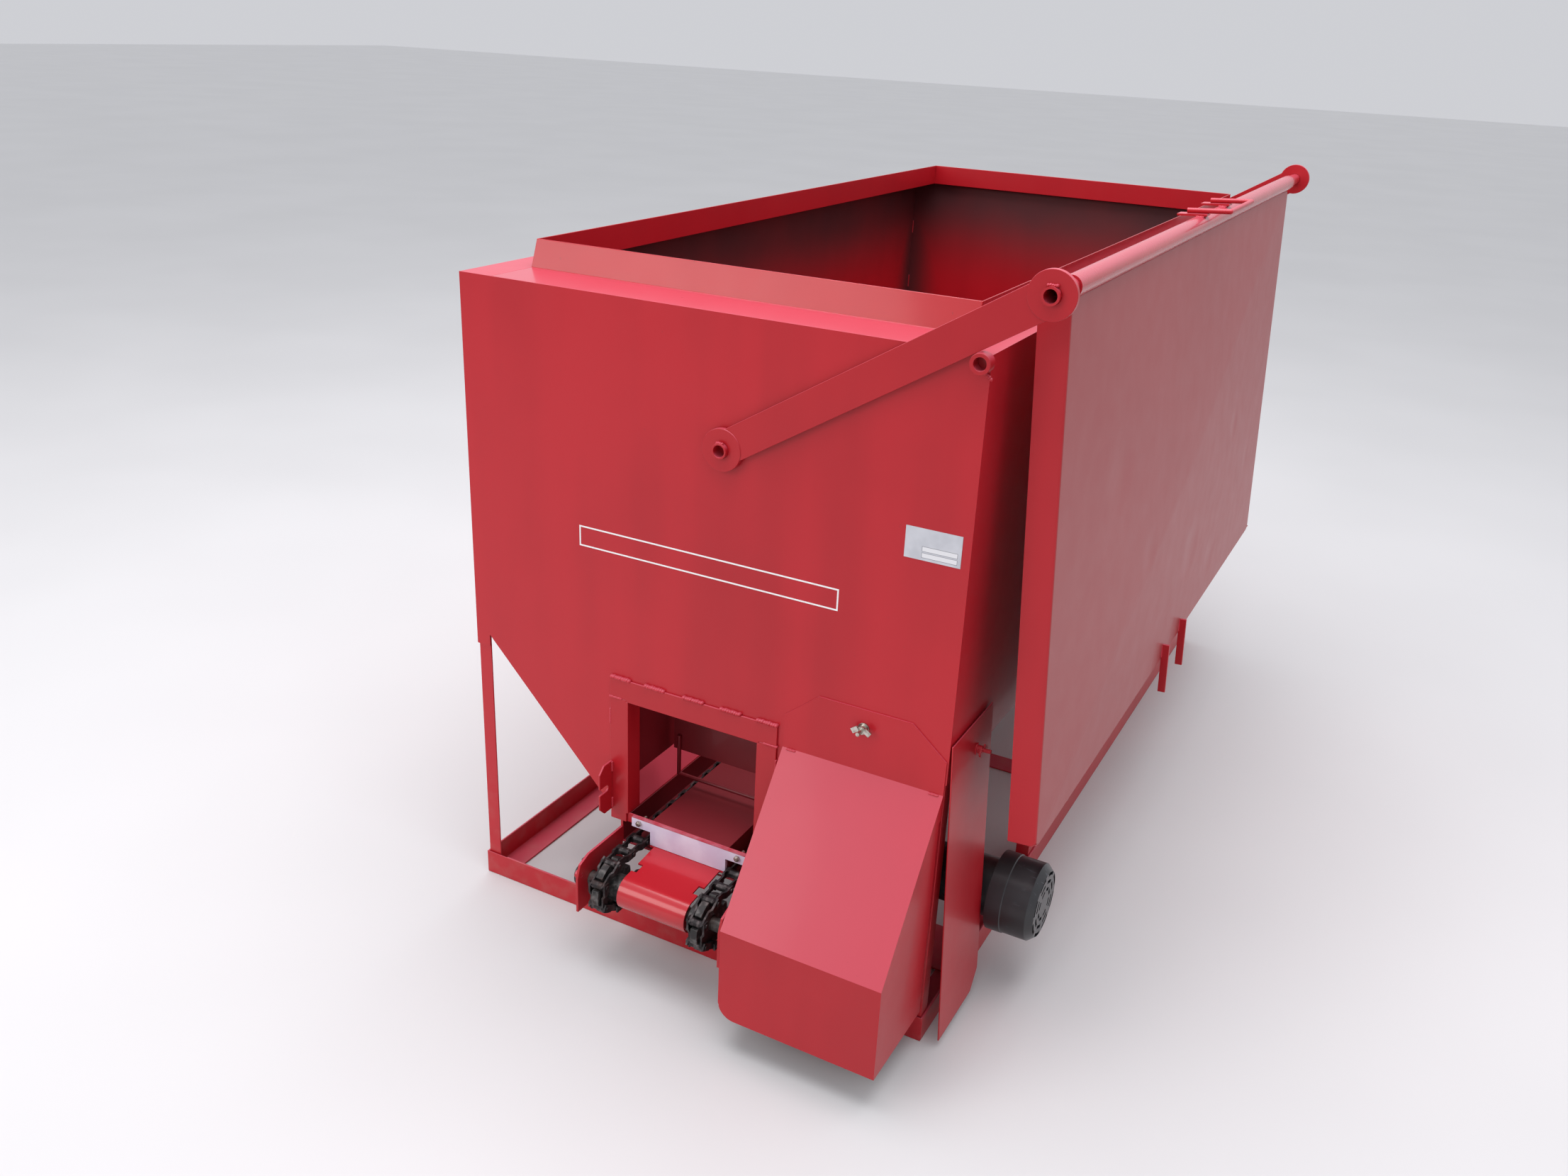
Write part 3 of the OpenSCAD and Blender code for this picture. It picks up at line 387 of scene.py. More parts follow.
@dataclass(frozen=True)
class OiledSteel:
    """Bare dark steel with oil and a little rust.

    Attributes:
        name: Material name.
        tone: Main colour.
        bright: Colour where it is rubbed.
        rust: Share of rust.
        gloss: Roughness where it is oily.
    """

    name: str
    tone: Colour = (0.030, 0.026, 0.027)
    bright: Colour = (0.125, 0.105, 0.105)
    rust: float = 0.25
    gloss: float = 0.36

    def make(self) -> bpy.types.Material:
        """Builds the material.

        Returns:
            The material.
        """
        b = Bench(self.name)
        rubbed = b.noise(60.0, 4.0).fade(0.45, 0.72)
        colour = b.blend(rubbed, self.tone, self.bright)
        rusty = b.noise(22.0, 5.0).fade(0.56, 0.72) * self.rust
        colour = b.blend(rusty, colour, (0.105, 0.032, 0.018))
        rough = self.gloss + b.noise(48.0, 3.0) * 0.22 + rusty * 0.3
        height = b.noise(380.0, 3.0) * 0.00006 + b.noise(70.0, 2.0) * 0.00018
        return b.finish(
            Base_Color=colour,
            Roughness=rough,
            Metallic=0.8 - rusty * 0.6,
            Normal=b.relief(height),
        )


@dataclass(frozen=True)
class ZincPlate:
    """Bright zinc plate with fine brushing.

    Attributes:
        name: Material name.
        tone: Main colour.
        sprayed_from: Distance to the right past which the shell's enamel covers it, in metres.
    """

    name: str
    tone: Colour = (0.58, 0.55, 0.50)
    sprayed_from: float | None = None

    def make(self) -> bpy.types.Material:
        """Builds the material.

        Returns:
            The material.
        """
        b = Bench(self.name)
        cloud = b.noise(90.0, 3.0).fade(0.35, 0.7)
        colour = b.blend(cloud, self.tone, (0.34, 0.30, 0.25))
        brushed = b.noise(160.0, 2.0, (8.0, 1.0, 1.0))
        metal = 1.0
        if self.sprayed_from is not None:
            sprayed = b.x.fade(self.sprayed_from, self.sprayed_from + 0.001)
            bare = b.x.fade(self.sprayed_from + 0.048, self.sprayed_from + 0.050)
            sprayed = sprayed * (1.0 - bare)
            colour = b.blend(sprayed, colour, (0.43, 0.012, 0.022))
            metal = 1.0 - sprayed
        return b.finish(
            Base_Color=colour,
            Roughness=0.26 + cloud * 0.18,
            Metallic=metal,
            Normal=b.relief(brushed * 0.00004),
        )


@dataclass(frozen=True)
class SlipperyPlastic:
    """Milky white slippery plastic with a red edge from the sprayed lip behind it.

    Attributes:
        name: Material name.
        edge_z: Height of its top edge, in metres.
    """

    name: str
    edge_z: float

    def make(self) -> bpy.types.Material:
        """Builds the material.

        Returns:
            The material.
        """
        b = Bench(self.name)
        cloud = b.noise(20.0, 3.0).fade(0.3, 0.75)
        colour = b.blend(cloud, (0.66, 0.55, 0.70), (0.76, 0.68, 0.80))
        sprayed = b.z.fade(self.edge_z - 0.0030, self.edge_z - 0.0008) * (0.72 + b.noise(60.0, 3.0) * 0.4)
        colour = b.blend(sprayed, colour, (0.40, 0.02, 0.04))
        marks = b.noise(120.0, 3.0, (1.0, 1.0, 0.2)).fade(0.70, 0.78) * 0.5
        colour = b.blend(marks, colour, (0.30, 0.24, 0.30))
        sawn = b.noise(300.0, 2.0, (0.1, 1.0, 1.0))
        return b.finish(
            Base_Color=colour,
            Roughness=0.42 + cloud * 0.12,
            Normal=b.relief(sawn * 0.00005),
            Subsurface_Weight=0.08,
            Subsurface_Radius=(0.01, 0.008, 0.01),
        )


@dataclass(frozen=True)
class SatinBlack:
    """Satin black paint with light scuffs.

    Attributes:
        name: Material name.
        scuffs: Share of scuffs.
    """

    name: str
    scuffs: float = 0.6

    def make(self) -> bpy.types.Material:
        """Builds the material.

        Returns:
            The material.
        """
        b = Bench(self.name)
        cloud = b.noise(12.0, 3.0).fade(0.3, 0.8)
        colour = b.blend(cloud, (0.010, 0.010, 0.012), (0.022, 0.022, 0.026))
        scratch = b.noise(36.0, 5.0, (1.0, 3.5, 1.0)).fade(0.60, 0.68)
        worn = scratch * b.noise(7.0, 2.0).fade(0.5, 0.7) * self.scuffs
        colour = b.blend(worn, colour, (0.15, 0.16, 0.19))
        grain = b.noise(520.0, 2.0) * 0.00003
        return b.finish(
            Base_Color=colour,
            Roughness=0.33 + worn * 0.25 + cloud * 0.06,
            Normal=b.relief(grain),
            Coat_Weight=0.2,
            Coat_Roughness=0.2,
        )


@dataclass(frozen=True)
class LabelFilm:
    """Silvery rating label with two blank fields and no lettering.

    Attributes:
        name: Material name.
        left: Left edge, in metres.
        low: Lower edge, in metres.
    """

    name: str
    left: float
    low: float

    def _field(self, b: Bench, low: float, edge: float) -> Wire:
        """Mask of one blank field.

        Args:
            b: The bench.
            low: Height of the field above the label's lower edge.
            edge: Growth of the field on every side.

        Returns:
            The mask.
        """
        across = abs(b.x - (self.left + 0.073))
        up = abs(b.z - (self.low + low + 0.0045))
        return across.fade(0.0362 + edge, 0.0358 + edge) * up.fade(0.0047 + edge, 0.0043 + edge)

    def make(self) -> bpy.types.Material:
        """Builds the material.

        Returns:
            The material.
        """
        b = Bench(self.name)
        cloud = b.noise(30.0, 2.0).fade(0.3, 0.7)
        colour = b.blend(cloud, (0.50, 0.51, 0.55), (0.58, 0.59, 0.63))
        for low in (0.006, 0.019):
            colour = b.blend(self._field(b, low, 0.0009), colour, (0.20, 0.20, 0.23))
            colour = b.blend(self._field(b, low, 0.0), colour, (0.74, 0.74, 0.76))
        return b.finish(Base_Color=colour, Roughness=0.38 + cloud * 0.1, Metallic=0.15)


@dataclass(frozen=True)
class WhiteInk:
    """Matt white film of the outlined stripe.

    Attributes:
        name: Material name.
    """

    name: str

    def make(self) -> bpy.types.Material:
        """Builds the material.

        Returns:
            The material.
        """
        b = Bench(self.name)
        worn = b.noise(140.0, 3.0).fade(0.62, 0.74) * 0.5
        colour = b.blend(worn, (0.83, 0.82, 0.82), (0.62, 0.35, 0.35))
        return b.finish(Base_Color=colour, Roughness=0.45 + worn * 0.2)


@dataclass(frozen=True)
class StudioFloor:
    """Plain pale floor.

    Attributes:
        name: Material name.
    """

    name: str

    def make(self) -> bpy.types.Material:
        """Builds the material.

        Returns:
            The material.
        """
        b = Bench(self.name)
        cloud = b.noise(0.8, 2.0).fade(0.2, 0.8)
        colour = b.blend(cloud, (0.60, 0.60, 0.60), (0.63, 0.63, 0.63))
        return b.finish(Base_Color=colour, Roughness=0.75 + cloud * 0.1)


# ------------------------------------------------------------------- mesh work


def settle(name: str, bm: bmesh.types.BMesh, smooth: bool = False) -> bpy.types.Object:
    """Turns a finished bmesh into an object at the origin.

    Args:
        name: The piece's name.
        bm: The mesh, which is freed.
        smooth: Whether its faces are shaded smooth.

    Returns:
        The object, linked to the scene.
    """
    mesh = bpy.data.meshes.new(name)
    for face in bm.faces:
        face.smooth = smooth
    bm.to_mesh(mesh)
    bm.free()
    made = bpy.data.objects.new(name, mesh)
    bpy.context.scene.collection.objects.link(made)
    return made


def add_piece(
    made: bpy.types.Object, body: Body, material: bpy.types.Material
) -> bpy.types.Object:
    """Gives a new piece its body and its finish.

    Args:
        made: The piece.
        body: The body that it rides on.
        material: The finish.

    Returns:
        The piece.
    """
    made.data.materials.clear()
    made.data.materials.append(material)
    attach(made, body.value)
    log.info("%s rides on %s", made.name, body.value)
    return made


def soften(made: bpy.types.Object, width: float, segments: int = 2) -> None:
    """Rounds the sharp edges of a carried-over node by modifiers.

    Args:
        made: The node's object.
        width: Width of the rounding, in metres.
        segments: Faces across the rounding.
    """
    weld = made.modifiers.new("merge", "WELD")
    weld.merge_threshold = 0.00002
    flat = made.modifiers.new("flats", "DECIMATE")
    flat.decimate_type = "DISSOLVE"
    flat.angle_limit = math.radians(0.4)
    bevel = made.modifiers.new("edge", "BEVEL")
    bevel.width = width
    bevel.segments = segments
    bevel.limit_method = "ANGLE"
    bevel.angle_limit = math.radians(24)
    bevel.use_clamp_overlap = True
    even = made.modifiers.new("shading", "WEIGHTED_NORMAL")
    even.mode = "FACE_AREA"
    even.weight = 80


def dress(nodes: Iterable[str], material: bpy.types.Material, edge: float = 0.0) -> None:
    """Gives carried-over nodes their finish.

    Args:
        nodes: Names of the nodes.
        material: The finish.
        edge: Width of their edge rounding, in metres, or 0 for none.
    """
    for name in nodes:
        made = frame["nodes"][name]
        made.data.materials.clear()
        made.data.materials.append(material)
        if edge:
            soften(made, edge)
        log.info("%s is finished in %s", name, material.name)


def bead(bm: bmesh.types.BMesh, start: Point, end: Point, radius: float, seed: float = 0.0) -> None:
    """Lays a weld bead of overlapping ripples.

    Args:
        bm: The mesh to add to.
        start: First end, in metres.
        end: Other end, in metres.
        radius: Half the bead's width, in metres.
        seed: Shifts the small unevenness.
    """
    a, b = Vector(start), Vector(end)
    run = b - a
    count = max(2, round(run.length / (radius * 0.75)))
    turn = run.to_track_quat("X", "Z").to_matrix().to_4x4() if run.length > 1e-6 else Matrix.Identity(4)
    for i in range(count):
        wobble = math.sin(seed * 7.3 + i * 2.1)
        place = Matrix.Translation(a + run * (i / (count - 1)) + Vector((0, 0, radius * 0.10 * wobble)))
        size = Matrix.Diagonal((radius * 0.8, radius * (1 + 0.12 * wobble), radius * 0.72, 1.0))
        bmesh.ops.create_icosphere(bm, subdivisions=2, radius=1.0, matrix=place @ turn @ size)


def slab(bm: bmesh.types.BMesh, low: Point, high: Point) -> list[bmesh.types.BMVert]:
    """Adds a block between two corners.

    Args:
        bm: The mesh to add to.
        low: Lowest corner.
        high: Highest corner.

    Returns:
        Its vertices.
    """
    lo, hi = Vector(low), Vector(high)
    place = Matrix.Translation((lo + hi) / 2) @ Matrix.Diagonal((*(hi - lo), 1.0))
    return bmesh.ops.create_cube(bm, size=1.0, matrix=place)["verts"]


# --------------------------------------------------------------- sub-assemblies


@dataclass
class HopperShell:
    """The hopper's sheets, its coaming and the outlined stripe.

    Attributes:
        stripe_x: Left and right ends of the stripe, in metres.
        stripe_z: Lower and upper edges of the stripe.
        stripe_line: Width of the stripe's outline.
        film: Thickness of the stripe's film.
    """

    stripe_x: tuple[float, float] = (-0.300, 0.340)
    stripe_z: tuple[float, float] = (0.982, 1.030)
    stripe_line: float = 0.0034
    film: float = 0.0004

    def build(self, shop: "PaintShop") -> None:
        """Dresses the sheets and makes the stripe and the seam welds.

        Args:
            shop: The finishes.
        """
        dress(["front_panel"], shop.shell, 0.0026)
        dress(["rear_panel", "left_wall", "right_wall", "left_slope", "right_slope"], shop.shell, 0.0011)
        dress(["front_coaming", "rear_coaming", "left_coaming", "right_coaming"], shop.coaming, 0.0013)
        self._stripe(shop)
        self._seams(shop)

    def _stripe(self, shop: "PaintShop") -> None:
        """Makes the outlined stripe on the front panel.

        Args:
            shop: The finishes.
        """
        bm = bmesh.new()
        (x0, x1), (z0, z1) = self.stripe_x, self.stripe_z
        slab(bm, (x0, FRONT - self.film, z0), (x1, FRONT, z1))
        face = min(bm.faces, key=lambda f: f.calc_center_median().y)
        back = max(bm.faces, key=lambda f: f.calc_center_median().y)
        bmesh.ops.inset_region(
            bm, faces=[face, back], thickness=self.stripe_line, use_even_offset=True
        )
        bmesh.ops.bridge_loops(bm, edges=[e for f in (face, back) for e in f.edges])
        bmesh.ops.delete(bm, geom=[face, back], context="FACES_ONLY")
        bmesh.ops.recalc_face_normals(bm, faces=bm.faces)
        add_piece(settle("stripe_outline", bm), Body.FRAME, shop.ink)

    def _seams(self, shop: "PaintShop") -> None:
        """Makes the short welds of the coaming's corners and of the hopper's inner seams.

        Args:
            shop: The finishes.
        """
        bm = bmesh.new()
        for side in (-1, 1):
            for i, z in enumerate((0.78, 0.98, 1.18, 1.38)):
                x = side * (HALF_W - 0.0045)
                bead(bm, (x, HALF_L - 0.0045, z - 0.02), (x, HALF_L - 0.0045, z + 0.02), 0.0028, i)
            x = side * (HALF_W - 0.087)
            bead(bm, (x, FRONT + 0.150, LEDGE_Z + 0.004), (x, FRONT + 0.162, LEDGE_Z + 0.048), 0.0030, side)
        add_piece(settle("shell_welds", bm, True), Body.FRAME, shop.weld)


@dataclass
class BaseFrame:
    """Rails, posts and cross members, with the welds of the posts.

    Attributes:
        post_x: Distance of a corner post's weld from the middle, in metres.
        rail_top: Height of the rails' flat legs.
        post_inner: Distance of a side post's weld from the middle, at its inner end.
        post_outer: The same at its outer end.
        post_bead: Radius of the posts' beads.
    """

    post_x: float = 0.588
    rail_top: float = 0.005
    post_inner: float = 0.574
    post_outer: float = 0.600
    post_bead: float = 0.0035

    def build(self, shop: "PaintShop") -> None:
        """Dresses the frame and makes its welds.

        Args:
            shop: The finishes.
        """
        dress(["left_rail", "right_rail", "front_rail", "rear_rail", "cross_members"], shop.base, 0.0016)
        dress(["corner_posts", "side_posts"], shop.base, 0.0012)
        dress(["trough_floor"], shop.trough, 0.0010)
        bm = bmesh.new()
        for side in (-1, 1):
            for end in (-1, 1):
                x, y, z = side * self.post_x, end * (HALF_L - 0.040), self.rail_top
                bead(bm, (x - 0.014, y, z), (x + 0.014, y, z), self.post_bead, side + end)
            for k in (-1, 0, 1):
                y = k * 0.47
                for s in (-1, 1):
                    spot = y + s * 0.052
                    near = (side * self.post_inner, spot, self.rail_top)
                    far = (side * self.post_outer, spot, self.rail_top)
                    bead(bm, near, far, self.post_bead, k + s)
        add_piece(settle("frame_welds", bm, True), Body.FRAME, shop.weld)


@dataclass
class DischargeEnd:
    """The framed opening, its boot, the wiper and the stitch welds.

    Attributes:
        header_z: Height of the header's upper edge, in metres.
        header_low: Height of the header's lower edge.
        outer: Half the width over the jambs.
        stitches: Middle of each stitch weld across the header.
        stitch_l: Length of a stitch weld.
    """

    header_z: float = 0.680
    header_low: float = 0.630
    outer: float = 0.218
    stitches: tuple[float, ...] = (-0.190, -0.098, 0.004, 0.100, 0.192)
    stitch_l: float = 0.046

    def build(self, shop: "PaintShop") -> None:
        """Dresses the discharge end and makes its welds.

        Args:
            shop: The finishes.
        """
        dress(["frame_header", "left_jamb", "right_jamb", "spout_brackets"], shop.bars, 0.0014)
        dress(["nose_plate"], shop.nose, 0.0009)
        dress(["boot_sides"], shop.bars, 0.0009)
        dress(["wiper_strip"], shop.plastic, 0.0007)
        dress(["wiper_bolts"], shop.zinc, 0.0009)
        dress(["boot_bolts"], shop.bars, 0.0012)
        self._welds(shop)

    def _welds(self, shop: "PaintShop") -> None:
        """Makes the stitch welds of the header, the jambs and the spout brackets.

        Args:
            shop: The finishes.
        """
        bm = bmesh.new()
        y = FRONT - 0.0028
        for i, x in enumerate(self.stitches):
            half = self.stitch_l / 2
            top = self.header_z + 0.0012
            bead(bm, (x - half, y, top), (x + half, y, top), 0.0068, i)
        for side in (-1, 1):
            x = side * self.outer
            near = (x - 0.030 * side, y - 0.001, self.header_low)
            bead(bm, near, (x, y - 0.001, self.header_low), 0.0042, side)
            for low in (0.345, 0.560):
                bead(bm, (x, y, low), (x, y, low + 0.035), 0.0040, side + low)
            for low in (0.336, 0.434):
                spot = side * (self.outer - 0.0058)
                bead(bm, (spot, FRONT - 0.0068, low), (spot, FRONT - 0.0068, low + 0.022), 0.0034, low)
            edge = side * 0.1935
            bead(bm, (edge, FRONT - 0.002, 0.170), (edge, FRONT - 0.002, 0.272), 0.0034, side)
        add_piece(settle("discharge_welds", bm, True), Body.FRAME, shop.weld)


@dataclass
class Conveyor:
    """Conveyor chains, sprockets, shafts and bearings, with the hubs' set screws.

    Attributes:
        shaft_y: Distance of the drive shaft along the hopper, in metres.
        shaft_z: Height of the shafts.
        hub_r: Radius of a sprocket hub.
        screw_x: Distance of a set screw from the middle.
    """

    shaft_y: float = FRONT - 0.127
    shaft_z: float = 0.215
    hub_r: float = 0.032
    screw_x: float = 0.104

    def build(self, shop: "PaintShop") -> None:
        """Dresses the conveyor and makes the hubs' set screws.

        Args:
            shop: The finishes.
        """
        dress(["left_conveyor_chain", "right_conveyor_chain"], shop.chain)
        dress(["front_sprockets", "tail_sprockets"], shop.steel, 0.0010)
        dress(["drive_shaft", "tail_shaft"], shop.bright_steel, 0.0008)
        dress(["shaft_bearings", "tail_bearings"], shop.casting, 0.0018)
        dress(["tail_sides"], shop.bars, 0.0009)
        tail_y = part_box("tail_shaft")[0].y / 2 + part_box("tail_shaft")[1].y / 2
        self._screws(shop, "front_set_screws", self.shaft_y, Body.DRIVE)
        self._screws(shop, "tail_set_screws", tail_y, Body.TAIL)

    def _screws(self, shop: "PaintShop", name: str, y: float, body: Body) -> None:
        """Makes socket set screws sunk in the hubs.

        Args:
            shop: The finishes.
            name: The piece's name.
            y: Distance of the shaft along the hopper.
            body: The body that the hubs ride on.
        """
        bm = bmesh.new()
        for side in (-1, 1):
            for angle in (40.0, 130.0):
                turn = Matrix.Rotation(math.radians(angle), 4, "X")
                place = (
                    Matrix.Translation((side * self.screw_x, y, self.shaft_z))
                    @ turn
                    @ Matrix.Translation((0, 0, self.hub_r - 0.0025))
                )
                ring = bmesh.ops.create_cone(
                    bm, cap_ends=True, segments=18, radius1=0.0042, radius2=0.0038, depth=0.006, matrix=place
                )["verts"]
                top = max(
                    {f for v in ring for f in v.link_faces if len(f.verts) > 4},
                    key=lambda f: (place.inverted() @ f.calc_center_median()).z,
                )
                bmesh.ops.inset_region(bm, faces=[top], thickness=0.0016)
                pushed = bmesh.ops.extrude_face_region(bm, geom=[top])
                inner = [v for v in pushed["geom"] if isinstance(v, bmesh.types.BMVert)]
                axis = (turn.to_3x3() @ Vector((0, 0, -1))) * 0.0028
                bmesh.ops.translate(bm, verts=inner, vec=axis)
                if top.is_valid:
                    bmesh.ops.delete(bm, geom=[top], context="FACES_ONLY")
        bmesh.ops.recalc_face_normals(bm, faces=bm.faces)
        add_piece(settle(name, bm), body, shop.steel)


@dataclass
class DriveSide:
    """Gear motor, drive chain, hood, side guard and wing bolts.

    Attributes:
        fold_z: Height of the weld along the hood's fold, in metres.
    """

    fold_z: float = 0.634

    def build(self, shop: "PaintShop") -> None:
        """Dresses the drive and makes the welds of the hood and the motor mount.

        Args:
            shop: The finishes.
        """
        dress(["drive_hood"], shop.hood, 0.0022)
        dress(["side_guard"], shop.bars, 0.0013)
        dress(["motor_mount"], shop.base, 0.0014)
        dress(["wing_bolts"], shop.wing, 0.0012)
        dress(["motor_can", "motor_cover"], shop.black, 0.0024)
        dress(["gearbox_housing"], shop.casting, 0.0020)
        dress(["output_shaft"], shop.bright_steel, 0.0008)
        dress(["motor_armature", "motor_sprocket", "driven_sprocket"], shop.steel)
        dress(["roller_chain"], shop.chain)
        self._hood_welds(shop)

    def _hood_welds(self, shop: "PaintShop") -> None:
        """Makes the welds along the hood's fold and the mount's foot.

        Args:
            shop: The finishes.
        """
        bm = bmesh.new()
        low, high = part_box("drive_hood")
        for i, x in enumerate((low.x + 0.012, high.x - 0.030)):
            bead(bm, (x, FRONT - 0.0050, self.fold_z), (x + 0.018, FRONT - 0.0050, self.fold_z), 0.0030, i)
        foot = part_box("motor_mount")
        for i, y in enumerate((foot[0].y + 0.02, foot[1].y - 0.06)):
            bead(bm, (0.4795, y, 0.0125), (0.4795, y + 0.04, 0.0125), 0.0035, i)
        add_piece(settle("guard_welds", bm, True), Body.FRAME, shop.weld)


@dataclass
class RollOverLid:
    """Arms, pipes and the lid's cross-creased sheet.

    Attributes:
        lean: Outward lean of the stored lid, in radians.
        face_x: Distance of the outer face from the hinge line, in metres.
        skirt: Depth of the skirts.
        top: Height of the hinge edge above the hinge line.
        width: Width from the hinge edge to the free edge.
        y0: Near end.
        y1: Far end.
        sheet: Thickness of the sheet.
        crown: Height of the cross creases at the middle.
        crease_r: Width of the rounding of the cross creases.
        fold_r: Width of the rounding of the folds to the skirts.
        fold_angle: Smallest turn that counts as a fold, in radians.
        arm_tack: Height of the arms' tacks above the arms' pivot.
        pipe_tack: Height of the pipe's tacks above the hinge line.
    """

    lean: float = math.radians(3.6)
    face_x: float = 0.005
    skirt: float = 0.062
    top: float = -0.0211
    width: float = 1.130
    y0: float = FRONT + 0.090
    y1: float = HALF_L - 0.130
    sheet: float = 0.002
    crown: float = 0.024
    crease_r: float = 0.012
    fold_r: float = 0.004
    fold_angle: float = 0.5
    arm_tack: float = 0.0165
    pipe_tack: float = 0.0175

    def build(self, shop: "PaintShop") -> None:
        """Dresses the arms and makes the lid's sheet and the weld tacks.

        Args:
            shop: The finishes.
        """
        dress(["front_arm", "rear_arm", "pivot_stubs"], shop.bars, 0.0011)
        dress(["lid_pipe", "lid_sleeve"], shop.pipe)
        dress(["lid_handle", "lid_grab_bars"], shop.bars, 0.0010)
        self._sheet(shop)
        self._tacks(shop)

    @property
    def pivot(self) -> Vector:
        """Place of the lid's hinge line."""
        joint = next(j for j in frame["joints"] if j["name"] == "lid_swing")
        return Vector(joint["pos_m"])

    @property
    def place(self) -> Matrix:
        """Turns and moves the lid's own axes into place."""
        return Matrix.Translation(self.pivot) @ Matrix.Rotation(-self.lean, 4, "Y")

    def _sheet(self, shop: "PaintShop") -> None:
        """Makes the lid as a folded sheet with four creases that meet in the middle.

        Args:
            shop: The finishes.
        """
        bm = bmesh.new()
        slab(bm, (self.face_x - self.skirt, self.y0, self.top - self.width), (self.face_x, self.y1, self.top))
        inner = min(bm.faces, key=lambda f: f.calc_center_median().x)
        bmesh.ops.delete(bm, geom=[inner], context="FACES_ONLY")
        outer = max(bm.faces, key=lambda f: f.calc_center_median().x)
        poked = bmesh.ops.poke(bm, faces=[outer], offset=0.0)
        middle = poked["verts"][0]
        middle.co.x += self.crown
        creases = list(middle.link_edges)
        bmesh.ops.bevel(
            bm, geom=creases, offset=self.crease_r, offset_type="OFFSET", segments=3,
            profile=0.5, material=-1, affect="EDGES",
        )
        folds = [e for e in bm.edges if len(e.link_faces) == 2 and e.calc_face_angle() > self.fold_angle]
        bmesh.ops.bevel(
            bm, geom=folds, offset=self.fold_r, offset_type="OFFSET", segments=3,
            profile=0.5, material=-1, affect="EDGES",
        )
        bmesh.ops.recalc_face_normals(bm, faces=bm.faces)
        if max(bm.faces, key=lambda f: f.calc_area()).normal.x < 0:
            bmesh.ops.reverse_faces(bm, faces=bm.faces)
        bmesh.ops.transform(bm, matrix=self.place, verts=bm.verts)
        made = settle("lid_skin", bm)
        wall = made.modifiers.new("wall", "SOLIDIFY")
        wall.thickness = self.sheet
        wall.offset = -1.0
        add_piece(made, Body.LID, shop.lid)
        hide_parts("lid_sheet")

    def _tacks(self, shop: "PaintShop") -> None:
        """Makes the weld tacks of the pivots, the sleeve and the handle.

        Args:
            shop: The finishes.
        """
        arm = next(j for j in frame["joints"] if j["name"] == "arm_swing")["pos_m"]
        out = HALF_L + 0.022
        fixed, moving, riding = bmesh.new(), bmesh.new(), bmesh.new()
        for end in (-1, 1):
            y = end * out
            x, z = arm[0], arm[2] + self.arm_tack
            bead(fixed, (x - 0.006, y, z), (x + 0.006, y, z), 0.0040, end)
            x, z = self.pivot.x, self.pivot.z + self.pipe_tack
            y -= end * 0.004
            bead(moving, (x - 0.008, y, z), (x + 0.008, y, z), 0.0046, end)
            x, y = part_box("pivot_stubs")[1].x, end * (HALF_L + 0.003)
            bead(fixed, (x - 0.004, y, 1.505), (x - 0.018, y, 1.516), 0.0045, end)
        for s in (-1, 1):
            for edge in (-0.020, 0.020):
                spot = s * 0.130 + edge
                bead(riding, (-0.006, spot, 0.0205), (0.010, spot, 0.0195), 0.0030, s + edge)
            x, y, foot = self.face_x + 0.001, s * 0.100 - 0.005, self.top - self.width
            bead(riding, (x, y, foot + 0.010), (x, y, foot + 0.040), 0.0030, s)
        for y in (self.y0 + 0.05, -0.60, -0.25, 0.25, 0.60, self.y1 - 0.05):
            z = self.top + 0.0015
            bead(riding, (0.004, y - 0.02, z), (0.004, y + 0.02, z), 0.0032, y)
        bmesh.ops.transform(riding, matrix=self.place, verts=riding.verts)
        add_piece(settle("pivot_tacks", fixed, True), Body.FRAME, shop.weld)
        add_piece(settle("arm_tacks", moving, True), Body.ARMS, shop.weld)
        add_piece(settle("lid_tacks", riding, True), Body.LID, shop.weld)


@dataclass
class TripGate:
    """The flap over the trough with its rod and hangers.

    Attributes:
        edge: Width of the edge rounding, in metres.
    """

    edge: float = 0.0009

    def build(self, shop: "PaintShop") -> None:
        """Dresses the gate and the label.

        Args:
            shop: The finishes.
        """
        dress(["gate_hangers", "gate_flap"], shop.trough, self.edge)
        dress(["gate_rod"], shop.zinc)
        dress(["label_plate"], shop.label)


